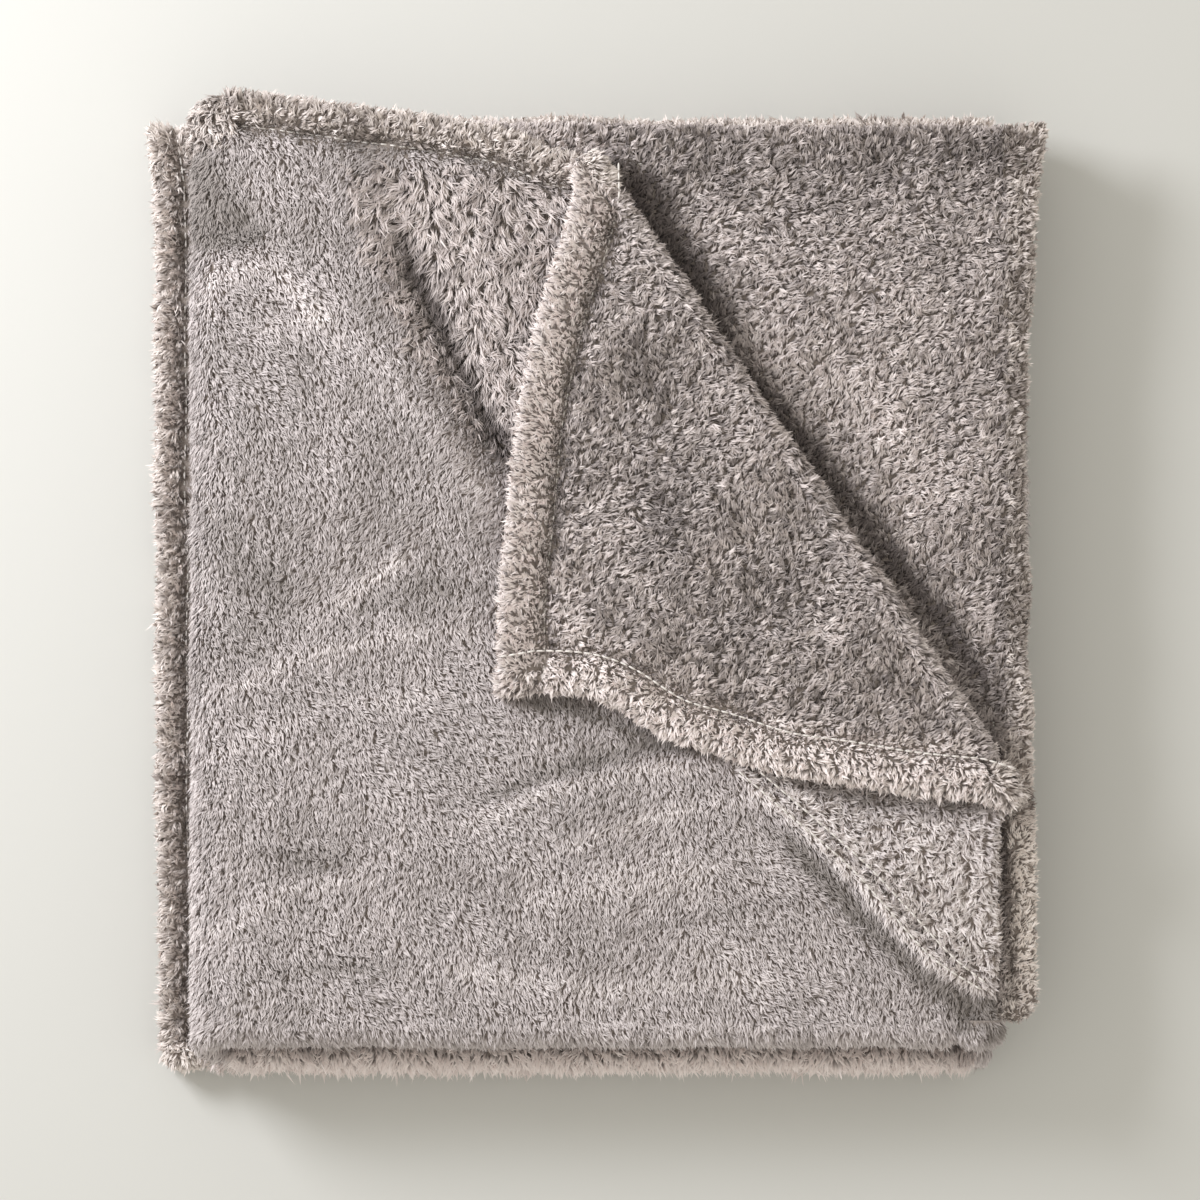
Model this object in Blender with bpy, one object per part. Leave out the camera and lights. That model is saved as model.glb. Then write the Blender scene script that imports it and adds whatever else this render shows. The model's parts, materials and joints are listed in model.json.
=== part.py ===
import math

import bpy
from mathutils import Vector

for old in list(bpy.data.objects):
    bpy.data.objects.remove(old, do_unlink=True)

# Overall size of the folded stack, in metres. X runs across it, Y towards its hemmed end, Z up.
foldedWidth = 0.596
foldedDepth = 0.653

# One layer of the throw is a plush face ply and a sherpa back ply, pile included.
facePly = 0.006
backPly = 0.0075

# The two plies end in a border, closed by one row of topstitching.
hemWidth = 0.030
stitchWidth = 0.0006
stitchInset = 0.001

# Clear space between pieces that lie on or against each other.
gap = 0.0003

# How far the end folds of the upper and middle thirds sit in from the lower third's.
upperSetback = 0.0185
middleSetback = 0.004

# How far the two side folds sit in from the widest edge of the stack, at their outermost.
leftSetback = 0.026
rightSetback = 0.008

bendSteps = 8
hemSteps = 6

halfWidth = foldedWidth / 2
halfDepth = foldedDepth / 2
layer = facePly + gap + backPly
third = 2 * layer + gap
pitch = third + gap
reach = hemWidth + 2 * gap + stitchWidth
foldRadius = pitch - gap / 2
leftAxis = -halfWidth + leftSetback + foldRadius
rightAxis = halfWidth - rightSetback - foldRadius
leftAxisZ = 2 * pitch - gap / 2
rightAxisZ = pitch - gap / 2
endRadius = layer + gap / 2
lowerEnd = -halfDepth + endRadius
middleEnd = -halfDepth + middleSetback + endRadius
upperEnd = -halfDepth + upperSetback + endRadius
creaseZ = 3 * pitch - gap / 2


def material(name, colour, roughness):
    made = bpy.data.materials.new(name)
    made.use_nodes = True
    shader = made.node_tree.nodes["Principled BSDF"]
    shader.inputs["Base Color"].default_value = (*colour, 1)
    shader.inputs["Roughness"].default_value = roughness
    shader.inputs["Metallic"].default_value = 0
    made.diffuse_color = (*colour, 1)
    return made


plush = material("plush_face", (0.44, 0.40, 0.38), 0.9)
sherpa = material("sherpa_back", (0.36, 0.33, 0.31), 0.95)
border = material("border_plush", (0.48, 0.43, 0.38), 0.92)
thread = material("polyester_thread", (0.55, 0.50, 0.46), 0.6)


def shares(*pairs):
    return [Vector((x * halfWidth, y * halfDepth)) for x, y in pairs]


def addObject(name, points, faces, look):
    mesh = bpy.data.meshes.new(name)
    mesh.from_pydata([tuple(p) for p in points], [], faces)
    mesh.materials.append(look)
    mesh.update()
    made = bpy.data.objects.new(name, mesh)
    bpy.context.scene.collection.objects.link(made)
    return made


def loft(name, levels, look):
    # A closed body through outlines of equal length, each given as (height, points), from the bottom up.
    count = len(levels[0][1])
    points = [(p.x, p.y, z) for z, outline in levels for p in outline]
    faces = [list(range(count))[::-1]]
    for level in range(len(levels) - 1):
        low = level * count
        high = low + count
        for i in range(count):
            j = (i + 1) % count
            faces.append([low + i, low + j, high + j, high + i])
    top = (len(levels) - 1) * count
    faces.append([top + i for i in range(count)])
    return addObject(name, points, faces, look)


def insetSides(sides, amounts):
    # Each side of an outline moved inwards by its own amount, and met again with its neighbours.
    edges = []
    for side, points in sides.items():
        for start, end in zip(points, points[1:]):
            along = (end - start).normalized()
            inward = Vector((-along.y, along.x))
            edges.append((side, start + inward * amounts[side], along))
    corners = []
    for i, (side, start, along) in enumerate(edges):
        before, beforeStart, beforeAlong = edges[i - 1]
        turn = beforeAlong.x * along.y - beforeAlong.y * along.x
        if abs(turn) < 1e-6:
            corners.append(start)
            continue
        apart = start - beforeStart
        step = (apart.x * along.y - apart.y * along.x) / turn
        corners.append(beforeStart + beforeAlong * step)
    made = {side: [] for side in sides}
    for i, (side, start, along) in enumerate(edges):
        if not made[side]:
            made[side].append(corners[i])
        made[side].append(corners[(i + 1) % len(edges)])
    return made


def ply(name, sides, insets, low, high, look):
    outline = []
    for points in insetSides(sides, insets).values():
        outline += points[:-1]
    return loft(name, [(low, outline), (high, outline)], look)


def band(sides, side, insets, outer, inner):
    outside = insetSides(sides, {**insets, side: outer})[side]
    inside = insetSides(sides, {**insets, side: inner})[side]
    return outside + inside[::-1]


def hem(name, sides, side, insets, bottom):
    # A border with a half-round outer edge, the full thickness of a layer.
    radius = layer / 2
    levels = []
    for step in range(hemSteps + 1):
        angle = math.radians(-80 + 160 * step / hemSteps)
        height = bottom + radius + radius * math.sin(angle) / math.sin(math.radians(80))
        outer = radius * (1 - math.cos(angle))
        levels.append((height, band(sides, side, insets, outer, hemWidth)))
    return loft(name, levels, border)


def topstitch(name, sides, side, insets, bottom):
    # The row of stitches stands in the channel between the border and the plies.
    ends = {key: max(value, stitchInset) for key, value in insets.items()}
    outline = band(sides, side, ends, hemWidth + gap, hemWidth + gap + stitchWidth)
    low = bottom + stitchInset
    high = bottom + layer - stitchInset
    return loft(name, [(low, outline), (high, outline)], thread)


def bend(name, start, end, outward, height, inner, outer, look):
    # Half a tube about a level axis, bulging the way outward points.
    profile = []
    for step in range(bendSteps + 1):
        angle = math.radians(-90 + 180 * step / bendSteps)
        profile.append((outer * math.cos(angle), outer * math.sin(angle)))
    for step in range(bendSteps, -1, -1):
        angle = math.radians(-90 + 180 * step / bendSteps)
        profile.append((inner * math.cos(angle), inner * math.sin(angle)))
    count = len(profile)
    points = []
    for place in (start, end):
        for out, up in profile:
            flat = place + outward * out
            points.append((flat.x, flat.y, height + up))
    along = end - start
    turned = along.x * outward.y - along.y * outward.x
    faces = [list(range(count)), [count + i for i in range(count)][::-1]]
    for i in range(count):
        j = (i + 1) % count
        faces.append([i, count + i, count + j, j])
    if turned > 0:
        faces = [face[::-1] for face in faces]
    return addObject(name, points, faces, look)


def addLayer(name, sides, hems, bottom, faceUp):
    # hems maps each bordered side to the side whose border runs past its end, or to None.
    plies = {side: reach if side in hems else gap for side in sides}
    made = []
    first, second = (backPly, facePly) if faceUp else (facePly, backPly)
    low = ply(name + ("_back_ply" if faceUp else "_face_ply"), sides, plies, bottom, bottom + first,
              sherpa if faceUp else plush)
    high = ply(name + ("_face_ply" if faceUp else "_back_ply"), sides, plies, bottom + first + gap,
               bottom + first + gap + second, plush if faceUp else sherpa)
    made += [low, high]
    for side, through in hems.items():
        insets = {}
        for other in sides:
            if other not in hems:
                insets[other] = gap
            elif other == through:
                insets[other] = reach
            else:
                insets[other] = 0
        made.append(hem(f"{name}_hem_{side}", sides, side, insets, bottom))
        made.append(topstitch(f"{name}_topstitch_{side}", sides, side, insets, bottom))
    return made


def addEndFold(name, left, right, end, bottom):
    # The layers of one third meet at its end fold: sherpa inside, plush outside.
    middle = bottom + third / 2
    start = Vector((left, end))
    stop = Vector((right, end))
    down = Vector((0, -1))
    inner = bend(name + "_back_ply", start, stop, down, middle, gap / 2, gap / 2 + backPly, sherpa)
    outer = bend(name + "_face_ply", start, stop, down, middle, gap * 1.5 + backPly, endRadius, plush)
    return [inner, outer]


def addSideFold(name, x, outward, low, innerHigh, outerHigh, height):
    # Two layers wrap each side fold, the plush of the inner one and of the outer one facing away from each other.
    made = []
    at = gap / 2
    for part, thickness, look, high in (
        ("inner_face_ply", facePly, plush, innerHigh),
        ("inner_back_ply", backPly, sherpa, innerHigh),
        ("outer_back_ply", backPly, sherpa, outerHigh),
        ("outer_face_ply", facePly, plush, outerHigh),
    ):
        start = Vector((x, low))
        stop = Vector((x, high))
        made.append(bend(f"{name}_{part}", start, stop, outward, height, at, at + thickness, look))
        at += thickness + gap
    return made


# The fold line of the turned-back corner, from the hemmed end to the open side.
creaseTop, creaseLow = shares((-0.040, 0.854), (0.916, -0.453))

upperBottom = 2 * pitch
middleBottom = pitch

topLayer = {
    "crease": [creaseLow, creaseTop],
    "top": [creaseTop, *shares((-0.215, 0.923), (-0.436, 0.957), (-0.657, 0.984)), Vector((leftAxis, halfDepth))],
    "fold": [Vector((leftAxis, halfDepth)), Vector((leftAxis, upperEnd))],
    "end": [Vector((leftAxis, upperEnd)), Vector((0.901 * halfWidth, upperEnd))],
    "right": [Vector((0.901 * halfWidth, upperEnd)), *shares((0.905, -0.560)), creaseLow],
}
cornerFlap = {
    "crease": [creaseLow, creaseTop],
    "left": [creaseTop, *shares((-0.074, 0.711), (-0.151, 0.469), (-0.185, 0.266), (-0.218, -0.037), (-0.215, -0.227))],
    "lower": shares((-0.215, -0.227), (0.0, -0.242), (0.201, -0.337), (0.520, -0.410), (0.750, -0.437)) + [creaseLow],
}
secondLayer = {
    "top": shares((1.0, 0.931)) + [Vector((leftAxis, 0.948 * halfDepth))],
    "fold": [Vector((leftAxis, 0.948 * halfDepth)), Vector((leftAxis, upperEnd))],
    "end": [Vector((leftAxis, upperEnd)), Vector((0.992 * halfWidth, upperEnd))],
    "right": [Vector((0.992 * halfWidth, upperEnd)),
              *shares((0.988, -0.582), (0.971, -0.037), (0.965, 0.266), (0.982, 0.568), (1.0, 0.931))],
}


def middleOutline(top):
    return {
        "top": [Vector((rightAxis, top * halfDepth)), Vector((leftAxis, top * halfDepth))],
        "fold": [Vector((leftAxis, top * halfDepth)), Vector((leftAxis, middleEnd))],
        "end": [Vector((leftAxis, middleEnd)), Vector((rightAxis, middleEnd))],
        "side": [Vector((rightAxis, middleEnd)), Vector((rightAxis, top * halfDepth))],
    }


def lowerOutline(top, left):
    return {
        "top": [Vector((rightAxis, top * halfDepth)), Vector((left * halfWidth, top * halfDepth))],
        "left": shares((left, top), (0.995 * left, 0.5), (0.99 * left, -0.4)) + [Vector((0.985 * left * halfWidth, lowerEnd))],
        "end": [Vector((0.985 * left * halfWidth, lowerEnd)), Vector((rightAxis, lowerEnd))],
        "side": [Vector((rightAxis, lowerEnd)), Vector((rightAxis, top * halfDepth))],
    }


outwardLeft = Vector((-1, 0))
outwardRight = Vector((1, 0))

flapParts = addLayer("corner_flap", cornerFlap, {"left": "lower", "lower": None}, 3 * pitch, False)

upperParts = addLayer("layer1", topLayer, {"top": None, "right": None}, upperBottom + layer + gap, True)
upperParts += addLayer("layer2", secondLayer, {"top": "right", "right": None}, upperBottom, False)
upperParts += addEndFold("upper_end_fold", leftAxis + gap, 0.901 * halfWidth, upperEnd, upperBottom)

crease = (creaseLow - creaseTop).normalized()
awayFromFlap = Vector((-crease.y, crease.x))
upperParts.append(
    bend("corner_crease_face_ply", creaseTop, creaseLow, awayFromFlap, creaseZ, gap / 2, gap / 2 + facePly, plush)
)
upperParts.append(
    bend("corner_crease_back_ply", creaseTop, creaseLow, awayFromFlap, creaseZ, gap * 1.5 + facePly, endRadius, sherpa)
)

middleParts = addLayer("layer3", middleOutline(0.937), {"top": None}, middleBottom + layer + gap, True)
middleParts += addLayer("layer4", middleOutline(0.950), {"top": None}, middleBottom, False)
middleParts += addEndFold("middle_end_fold", leftAxis + gap, rightAxis - gap, middleEnd, middleBottom)
middleParts += addSideFold("left_fold", leftAxis, outwardLeft, upperEnd, 0.937 * halfDepth, halfDepth, leftAxisZ)

lowerParts = addLayer("layer5", lowerOutline(0.931, -1.0), {"top": "left", "left": None}, layer + gap, True)
lowerParts += addLayer("layer6", lowerOutline(0.925, -0.990), {"top": "left", "left": None}, 0, False)
lowerParts += addEndFold("lower_end_fold", -0.975 * halfWidth, rightAxis - gap, lowerEnd, 0)
lowerParts += addSideFold("right_fold", rightAxis, outwardRight, middleEnd, 0.925 * halfDepth, 0.925 * halfDepth,
                          rightAxisZ)


def hang(parts, name, place, parent):
    # Moving cloth hangs from an empty on the line it turns about.
    axis = bpy.data.objects.new(name, None)
    axis.empty_display_size = 0.05
    axis.location = place
    bpy.context.scene.collection.objects.link(axis)
    bpy.context.view_layer.update()
    if parent:
        axis.parent = parent
        axis.matrix_parent_inverse = parent.matrix_world.inverted()
        bpy.context.view_layer.update()
    for part in parts:
        part.parent = axis
        part.matrix_parent_inverse = axis.matrix_world.inverted()
    return axis


rightFoldAxis = hang(middleParts, "right_fold_axis", (rightAxis, 0, rightAxisZ), None)
leftFoldAxis = hang(upperParts, "left_fold_axis", (leftAxis, 0, leftAxisZ), rightFoldAxis)
middleOfCrease = (creaseTop + creaseLow) / 2
hang(flapParts, "corner_crease_axis", (middleOfCrease.x, middleOfCrease.y, creaseZ), leftFoldAxis)
bpy.context.view_layer.update()
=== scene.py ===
import json
import math

import bpy
import numpy as np
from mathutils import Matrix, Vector
from mathutils.geometry import delaunay_2d_cdt

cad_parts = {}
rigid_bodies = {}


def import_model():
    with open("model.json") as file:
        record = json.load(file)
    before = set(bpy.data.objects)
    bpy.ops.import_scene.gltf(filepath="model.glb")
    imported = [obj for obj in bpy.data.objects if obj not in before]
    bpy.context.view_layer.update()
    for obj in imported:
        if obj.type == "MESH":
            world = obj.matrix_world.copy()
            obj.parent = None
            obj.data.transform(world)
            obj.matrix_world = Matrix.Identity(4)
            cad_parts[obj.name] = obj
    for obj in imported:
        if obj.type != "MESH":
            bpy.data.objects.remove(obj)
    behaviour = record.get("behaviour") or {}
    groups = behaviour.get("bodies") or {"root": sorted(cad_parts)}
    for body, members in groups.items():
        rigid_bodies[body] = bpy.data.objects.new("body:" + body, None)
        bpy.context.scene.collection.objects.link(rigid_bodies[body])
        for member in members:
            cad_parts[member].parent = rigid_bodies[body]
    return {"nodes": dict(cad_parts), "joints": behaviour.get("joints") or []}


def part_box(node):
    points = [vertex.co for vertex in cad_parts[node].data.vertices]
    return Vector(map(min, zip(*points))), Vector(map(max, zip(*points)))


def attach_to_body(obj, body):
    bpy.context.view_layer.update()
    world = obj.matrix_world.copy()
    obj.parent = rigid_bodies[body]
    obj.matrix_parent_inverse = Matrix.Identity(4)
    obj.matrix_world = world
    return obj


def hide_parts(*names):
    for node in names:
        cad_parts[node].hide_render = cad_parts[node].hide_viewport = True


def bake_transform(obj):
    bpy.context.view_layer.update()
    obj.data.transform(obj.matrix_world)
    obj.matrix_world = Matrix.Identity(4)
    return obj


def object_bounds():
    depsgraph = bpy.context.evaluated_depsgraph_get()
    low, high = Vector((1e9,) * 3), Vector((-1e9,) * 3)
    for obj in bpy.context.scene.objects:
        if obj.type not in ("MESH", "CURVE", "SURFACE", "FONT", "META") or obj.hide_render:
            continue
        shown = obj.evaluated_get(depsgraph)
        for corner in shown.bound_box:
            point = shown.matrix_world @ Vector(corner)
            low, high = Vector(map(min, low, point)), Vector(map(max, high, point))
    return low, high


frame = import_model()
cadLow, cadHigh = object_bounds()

print("frame loaded")

joints = {joint["name"]: joint for joint in frame["joints"]}
leftAxis, _, leftAxisZ = joints["left_fold_hinge"]["pos_m"]
rightAxis, _, rightAxisZ = joints["right_fold_hinge"]["pos_m"]
creaseZ = joints["corner_crease_hinge"]["pos_m"][2]
halfWidth = cadHigh.x
halfDepth = cadHigh.y

# The throw itself: what one layer of it measures, in metres.
throw = {
    "layer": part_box("layer1_face_ply")[1].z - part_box("layer1_back_ply")[0].z,
    "pitch": leftAxisZ - rightAxisZ,
    "backing": 0.0070,
    "hemWidth": 0.030,
    "grooveDepth": 0.0042,
    "grooveWidth": 0.0042,
    "hemSwell": 0.0022,
    "edgeWobble": 0.0012,
    "edgeInset": 0.0048,
    "plainRounding": 0.009,
    "rimClear": 0.009,
    "rimRows": (0.0009, 0.0024, 0.0045, 0.0072),
    "step": 0.0050,
}
layer = throw["layer"]
upperBottom = 2 * throw["pitch"]
middleBottom = throw["pitch"]
gap = 0.0003
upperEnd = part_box("upper_end_fold_face_ply")[1].y
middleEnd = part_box("middle_end_fold_face_ply")[1].y
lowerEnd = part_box("lower_end_fold_face_ply")[1].y


def linear(hexColour):
    # An sRGB hex colour as the linear values that shaders take.
    parts = [int(hexColour[i:i + 2], 16) / 255 for i in (1, 3, 5)]
    return tuple(p / 12.92 if p <= 0.04045 else ((p + 0.055) / 1.055) ** 2.4 for p in parts) + (1.0,)


def addNode(tree, kind, settings=None, inputs=None, links=None):
    # One node with its settings, its unlinked inputs, and links given as {input: (node, output)}.
    node = tree.nodes.new(kind)
    for key, value in (settings or {}).items():
        setattr(node, key, value)
    for key, value in (inputs or {}).items():
        node.inputs[key].default_value = value
    for key, (source, output) in (links or {}).items():
        tree.links.new(source.outputs[output], node.inputs[key])
    return node


def newMaterial(name):
    made = bpy.data.materials.new(name)
    made.use_nodes = True
    made.node_tree.nodes.clear()
    return made, made.node_tree


def setRamp(node, stops):
    ramp = node.color_ramp
    while len(ramp.elements) > 1:
        ramp.elements.remove(ramp.elements[-1])
    for i, (place, colour) in enumerate(stops):
        element = ramp.elements[0] if i == 0 else ramp.elements.new(place)
        element.position = place
        element.color = linear(colour)


# Each look's "root" colour is painted shade: its strands darken to it towards their roots.
pileLooks = {
    "plush": {"name": "combed_polyester_plush", "root": "#b9b1ae",
              "tones": [(0.0, "#a09894"), (0.5, "#d5cccb"), (1.0, "#f6eeec")]},
    "sherpa": {"name": "curled_polyester_sherpa", "root": "#5c5451",
               "tones": [(0.0, "#7b7270"), (0.5, "#d9cecb"), (1.0, "#fff5f2")]},
    "border": {"name": "polyester_border_pile", "root": "#766a64",
               "tones": [(0.0, "#9f948f"), (0.5, "#f2e8e3"), (1.0, "#fff6f0")]},
}
pileFinish = {"roughness": 0.85, "sheen": 0.2, "sheenRoughness": 0.5, "fibreContrast": 0.12}


def pileMaterial(look):
    # Polyester pile: matt crimped fibres in slightly different dye shades, lighter at the tips. Each strand has
    # painted shade towards its root, where the strands shade each other.
    made, tree = newMaterial(look["name"])
    coords = addNode(tree, "ShaderNodeUVMap", {"uv_map": "OFBake"})
    split = addNode(tree, "ShaderNodeSeparateXYZ", links={0: (coords, "UV")})
    tone = addNode(tree, "ShaderNodeValToRGB", links={"Fac": (split, "X")})
    setRamp(tone, look["tones"])
    # Painted shade: each strand darkens to the look's root colour over the lower half of its length.
    along = addNode(tree, "ShaderNodeValToRGB", links={"Fac": (split, "Y")})
    setRamp(along, [(0.0, look["root"]), (0.55, "#ffffff")])
    shaded = addNode(tree, "ShaderNodeMix", {"data_type": "RGBA", "blend_type": "MULTIPLY"}, {0: 1.0},
                     {6: (tone, "Color"), 7: (along, "Color")})
    # Fibres of about 0.03 mm can't show, so the streaks along a strand stand for bundles of them.
    stretch = addNode(tree, "ShaderNodeMapping", inputs={"Scale": (600.0, 2.0, 1.0)},
                      links={"Vector": (coords, "UV")})
    fibres = addNode(tree, "ShaderNodeTexNoise", inputs={"Scale": 1.0, "Detail": 2.0},
                     links={"Vector": (stretch, "Vector")})
    contrast = pileFinish["fibreContrast"]
    streak = addNode(tree, "ShaderNodeMapRange", inputs={"To Min": 1 - contrast, "To Max": 1 + contrast},
                     links={"Value": (fibres, "Fac")})
    coloured = addNode(tree, "ShaderNodeMix", {"data_type": "RGBA", "blend_type": "MULTIPLY"}, {0: 1.0},
                       {6: (shaded, 2), 7: (streak, "Result")})
    shader = addNode(tree, "ShaderNodeBsdfPrincipled",
                     inputs={"Roughness": pileFinish["roughness"], "Sheen Weight": pileFinish["sheen"],
                             "Sheen Roughness": pileFinish["sheenRoughness"], "Specular IOR Level": 0.08},
                     links={"Base Color": (coloured, 2)})
    addNode(tree, "ShaderNodeOutputMaterial", links={"Surface": (shader, "BSDF")})
    return made


def backingMaterial():
    # Knitted polyester backing seen between the locks: matted fibre, so a blotchy felt with a fine nap.
    made, tree = newMaterial("knitted_backing")
    coords = addNode(tree, "ShaderNodeTexCoord")
    blotches = addNode(tree, "ShaderNodeTexNoise", inputs={"Scale": 260.0, "Detail": 4.0, "Roughness": 0.6},
                       links={"Vector": (coords, "Object")})
    colour = addNode(tree, "ShaderNodeValToRGB", links={"Fac": (blotches, "Fac")})
    setRamp(colour, [(0.3, "#8a7f79"), (0.7, "#b1a59d")])
    nap = addNode(tree, "ShaderNodeTexNoise", inputs={"Scale": 700.0, "Detail": 3.0},
                  links={"Vector": (coords, "Object")})
    bump = addNode(tree, "ShaderNodeBump", inputs={"Strength": 0.8, "Distance": 0.0015},
                   links={"Height": (nap, "Fac")})
    shader = addNode(tree, "ShaderNodeBsdfPrincipled", inputs={"Roughness": 0.95, "Sheen Weight": 0.2},
                     links={"Base Color": (colour, "Color"), "Normal": (bump, "Normal")})
    addNode(tree, "ShaderNodeOutputMaterial", links={"Surface": (shader, "BSDF")})
    return made


def threadMaterial():
    # Spun polyester sewing thread: two pale plies twisted together, with a faint gloss and a soft fuzz.
    made, tree = newMaterial("spun_polyester_thread")
    coords = addNode(tree, "ShaderNodeTexCoord")
    plies = addNode(tree, "ShaderNodeTexNoise", inputs={"Scale": 1400.0, "Detail": 2.0},
                    links={"Vector": (coords, "Object")})
    colour = addNode(tree, "ShaderNodeValToRGB", links={"Fac": (plies, "Fac")})
    setRamp(colour, [(0.35, "#dcd4ce"), (0.65, "#fbf6f1")])
    bump = addNode(tree, "ShaderNodeBump", inputs={"Strength": 0.5, "Distance": 0.0002},
                   links={"Height": (plies, "Fac")})
    shader = addNode(tree, "ShaderNodeBsdfPrincipled", inputs={"Roughness": 0.6, "Sheen Weight": 0.2},
                     links={"Base Color": (colour, "Color"), "Normal": (bump, "Normal")})
    addNode(tree, "ShaderNodeOutputMaterial", links={"Surface": (shader, "BSDF")})
    return made


looks = {kind: pileMaterial(look) for kind, look in pileLooks.items()}
backing = backingMaterial()
thread = threadMaterial()

# Floor, lights and camera.
studio = {
    "floor": "#d9d8d4",
    "sky": "#f6f3ea",
    "skyStrength": 0.75,
    "keyPlace": (-1.48, 0.90, 1.12),
    "keySize": 0.75,
    "keyColour": "#f8faff",
    "keyPower": 35.5,
    "cameraHeight": 4.0,
    "viewWidth": 0.792,
    "cameraShift": (0.0023, -0.0122),
}


def addFloor():
    bpy.ops.object.select_all(action="DESELECT")
    bpy.ops.mesh.primitive_plane_add(size=24, location=(0, 0, 0))
    floor = bpy.context.object
    floor.name = "studioFloor"
    made, tree = newMaterial("matt_floor")
    shader = addNode(tree, "ShaderNodeBsdfPrincipled",
                     inputs={"Base Color": linear(studio["floor"]), "Roughness": 0.9, "Specular IOR Level": 0.2})
    addNode(tree, "ShaderNodeOutputMaterial", links={"Surface": (shader, "BSDF")})
    floor.data.materials.append(made)


def addLights():
    world = bpy.data.worlds.new("studioSky")
    bpy.context.scene.world = world
    world.use_nodes = True
    sky = world.node_tree.nodes["Background"]
    sky.inputs["Color"].default_value = linear(studio["sky"])
    sky.inputs["Strength"].default_value = studio["skyStrength"]
    lamp = bpy.data.lights.new("keyLight", "AREA")
    lamp.shape = "SQUARE"
    lamp.size = studio["keySize"]
    lamp.energy = studio["keyPower"]
    lamp.color = linear(studio["keyColour"])[:3]
    key = bpy.data.objects.new("keyLight", lamp)
    key.location = studio["keyPlace"]
    aim = Vector((0, 0, 0.05)) - key.location
    key.rotation_euler = aim.to_track_quat("-Z", "Y").to_euler()
    bpy.context.scene.collection.objects.link(key)


def addCamera():
    lens = bpy.data.cameras.new("camera")
    height = studio["cameraHeight"]
    lens.sensor_width = 36
    lens.lens = 36 * height / studio["viewWidth"]
    lens.clip_end = 60
    eye = bpy.data.objects.new("camera", lens)
    across, up = studio["cameraShift"]
    eye.location = (across, up, 3 * throw["pitch"] + height)
    bpy.context.scene.collection.objects.link(eye)
    bpy.context.scene.camera = eye


addFloor()
addLights()
addCamera()
scene = bpy.context.scene
scene.view_settings.view_transform = "Standard"
scene.view_settings.look = "None"
print("studio ready")


def waves(x, y, size, seed):
    # Smooth noise of about that size, from -1 to 1 or so, the same on every run: a few sine waves added up.
    count = 7
    rng = np.random.default_rng(seed)
    total = np.zeros(np.shape(x))
    for _ in range(count):
        turn, phase = rng.uniform(0, 2 * math.pi, 2)
        length = size * rng.uniform(0.6, 1.6)
        total = total + np.sin(2 * math.pi * (x * math.cos(turn) + y * math.sin(turn)) / length + phase)
    return total / math.sqrt(count)


def shares(*pairs):
    return [(x * halfWidth, y * halfDepth) for x, y in pairs]


def smoothLine(points, step):
    # A curve through the points, cut at about that step. Straight sides keep their ends square.
    points = np.array(points, float)
    if len(points) == 2:
        start, end = points
        count = max(1, round(float(np.linalg.norm(end - start)) / step))
        return np.array([start + (end - start) * i / count for i in range(count)] + [end])
    padded = np.vstack([2 * points[0] - points[1], points, 2 * points[-1] - points[-2]])
    made = []
    for i in range(1, len(padded) - 2):
        a, b, c, d = padded[i - 1:i + 3]
        count = max(1, round(float(np.linalg.norm(c - b)) / step))
        for k in range(count):
            t = k / count
            square, cube = 2 * a - 5 * b + 4 * c - d, 3 * b - a - 3 * c + d
            made.append(0.5 * (2 * b + (c - a) * t + square * t**2 + cube * t**3))
    return np.array(made + [points[-1]])


def distanceTo(points, line):
    # Distance from each point to a polyline, and how far along it the nearest place is.
    best = np.full(len(points), 1e9)
    place = np.zeros(len(points))
    run = 0.0
    for start, end in zip(line, line[1:]):
        along = end - start
        length = float(np.hypot(*along))
        if length < 1e-9:
            continue
        t = np.clip(((points - start) @ along) / length**2, 0, 1)
        away = np.hypot(*(points - start - t[:, None] * along).T)
        nearer = away < best
        best[nearer] = away[nearer]
        place[nearer] = run + t[nearer] * length
        run += length
    return best, place / max(run, 1e-9)


def inwardOf(line):
    # Which way is into the cloth at each point of its edge.
    along = np.gradient(line, axis=0)
    along /= np.linalg.norm(along, axis=1, keepdims=True)
    return np.stack([-along[:, 1], along[:, 0]], axis=1)


def insidePolygon(points, outline):
    inside = np.zeros(len(points), bool)
    x, y = points.T
    for (x0, y0), (x1, y1) in zip(outline, np.roll(outline, -1, axis=0)):
        crosses = (y0 > y) != (y1 > y)
        with np.errstate(divide="ignore", invalid="ignore"):
            at = (x1 - x0) * (y - y0) / (y1 - y0) + x0
        inside ^= crosses & (x < at)
    return inside


def meshObject(name, verts, faces, look):
    # The faces are one array of quads or of triangles, or a pair of both.
    mesh = bpy.data.meshes.new(name)
    if isinstance(faces, tuple):
        quads, tris = faces
    else:
        quads, tris = (faces, np.zeros((0, 3), int)) if faces.shape[1] == 4 else (np.zeros((0, 4), int), faces)
    mesh.vertices.add(len(verts))
    mesh.vertices.foreach_set("co", np.asarray(verts, np.float32).ravel())
    corners = np.concatenate([quads.ravel(), tris.ravel()]).astype(np.int32)
    sizes = np.concatenate([np.full(len(quads), 4), np.full(len(tris), 3)])
    starts = np.concatenate([[0], np.cumsum(sizes)[:-1]]).astype(np.int32)
    mesh.loops.add(len(corners))
    mesh.loops.foreach_set("vertex_index", corners)
    mesh.polygons.add(len(sizes))
    mesh.polygons.foreach_set("loop_start", starts)
    mesh.polygons.foreach_set("use_smooth", np.ones(len(sizes), bool))
    mesh.update(calc_edges=True)
    mesh.materials.append(look)
    made = bpy.data.objects.new(name, mesh)
    bpy.context.scene.collection.objects.link(made)
    return made


def facingOf(verts, tris):
    # The outward direction of each triangle, as long as twice its area.
    a, b, c = verts[tris[:, 0]], verts[tris[:, 1]], verts[tris[:, 2]]
    return np.cross(b - a, c - a)


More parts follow.
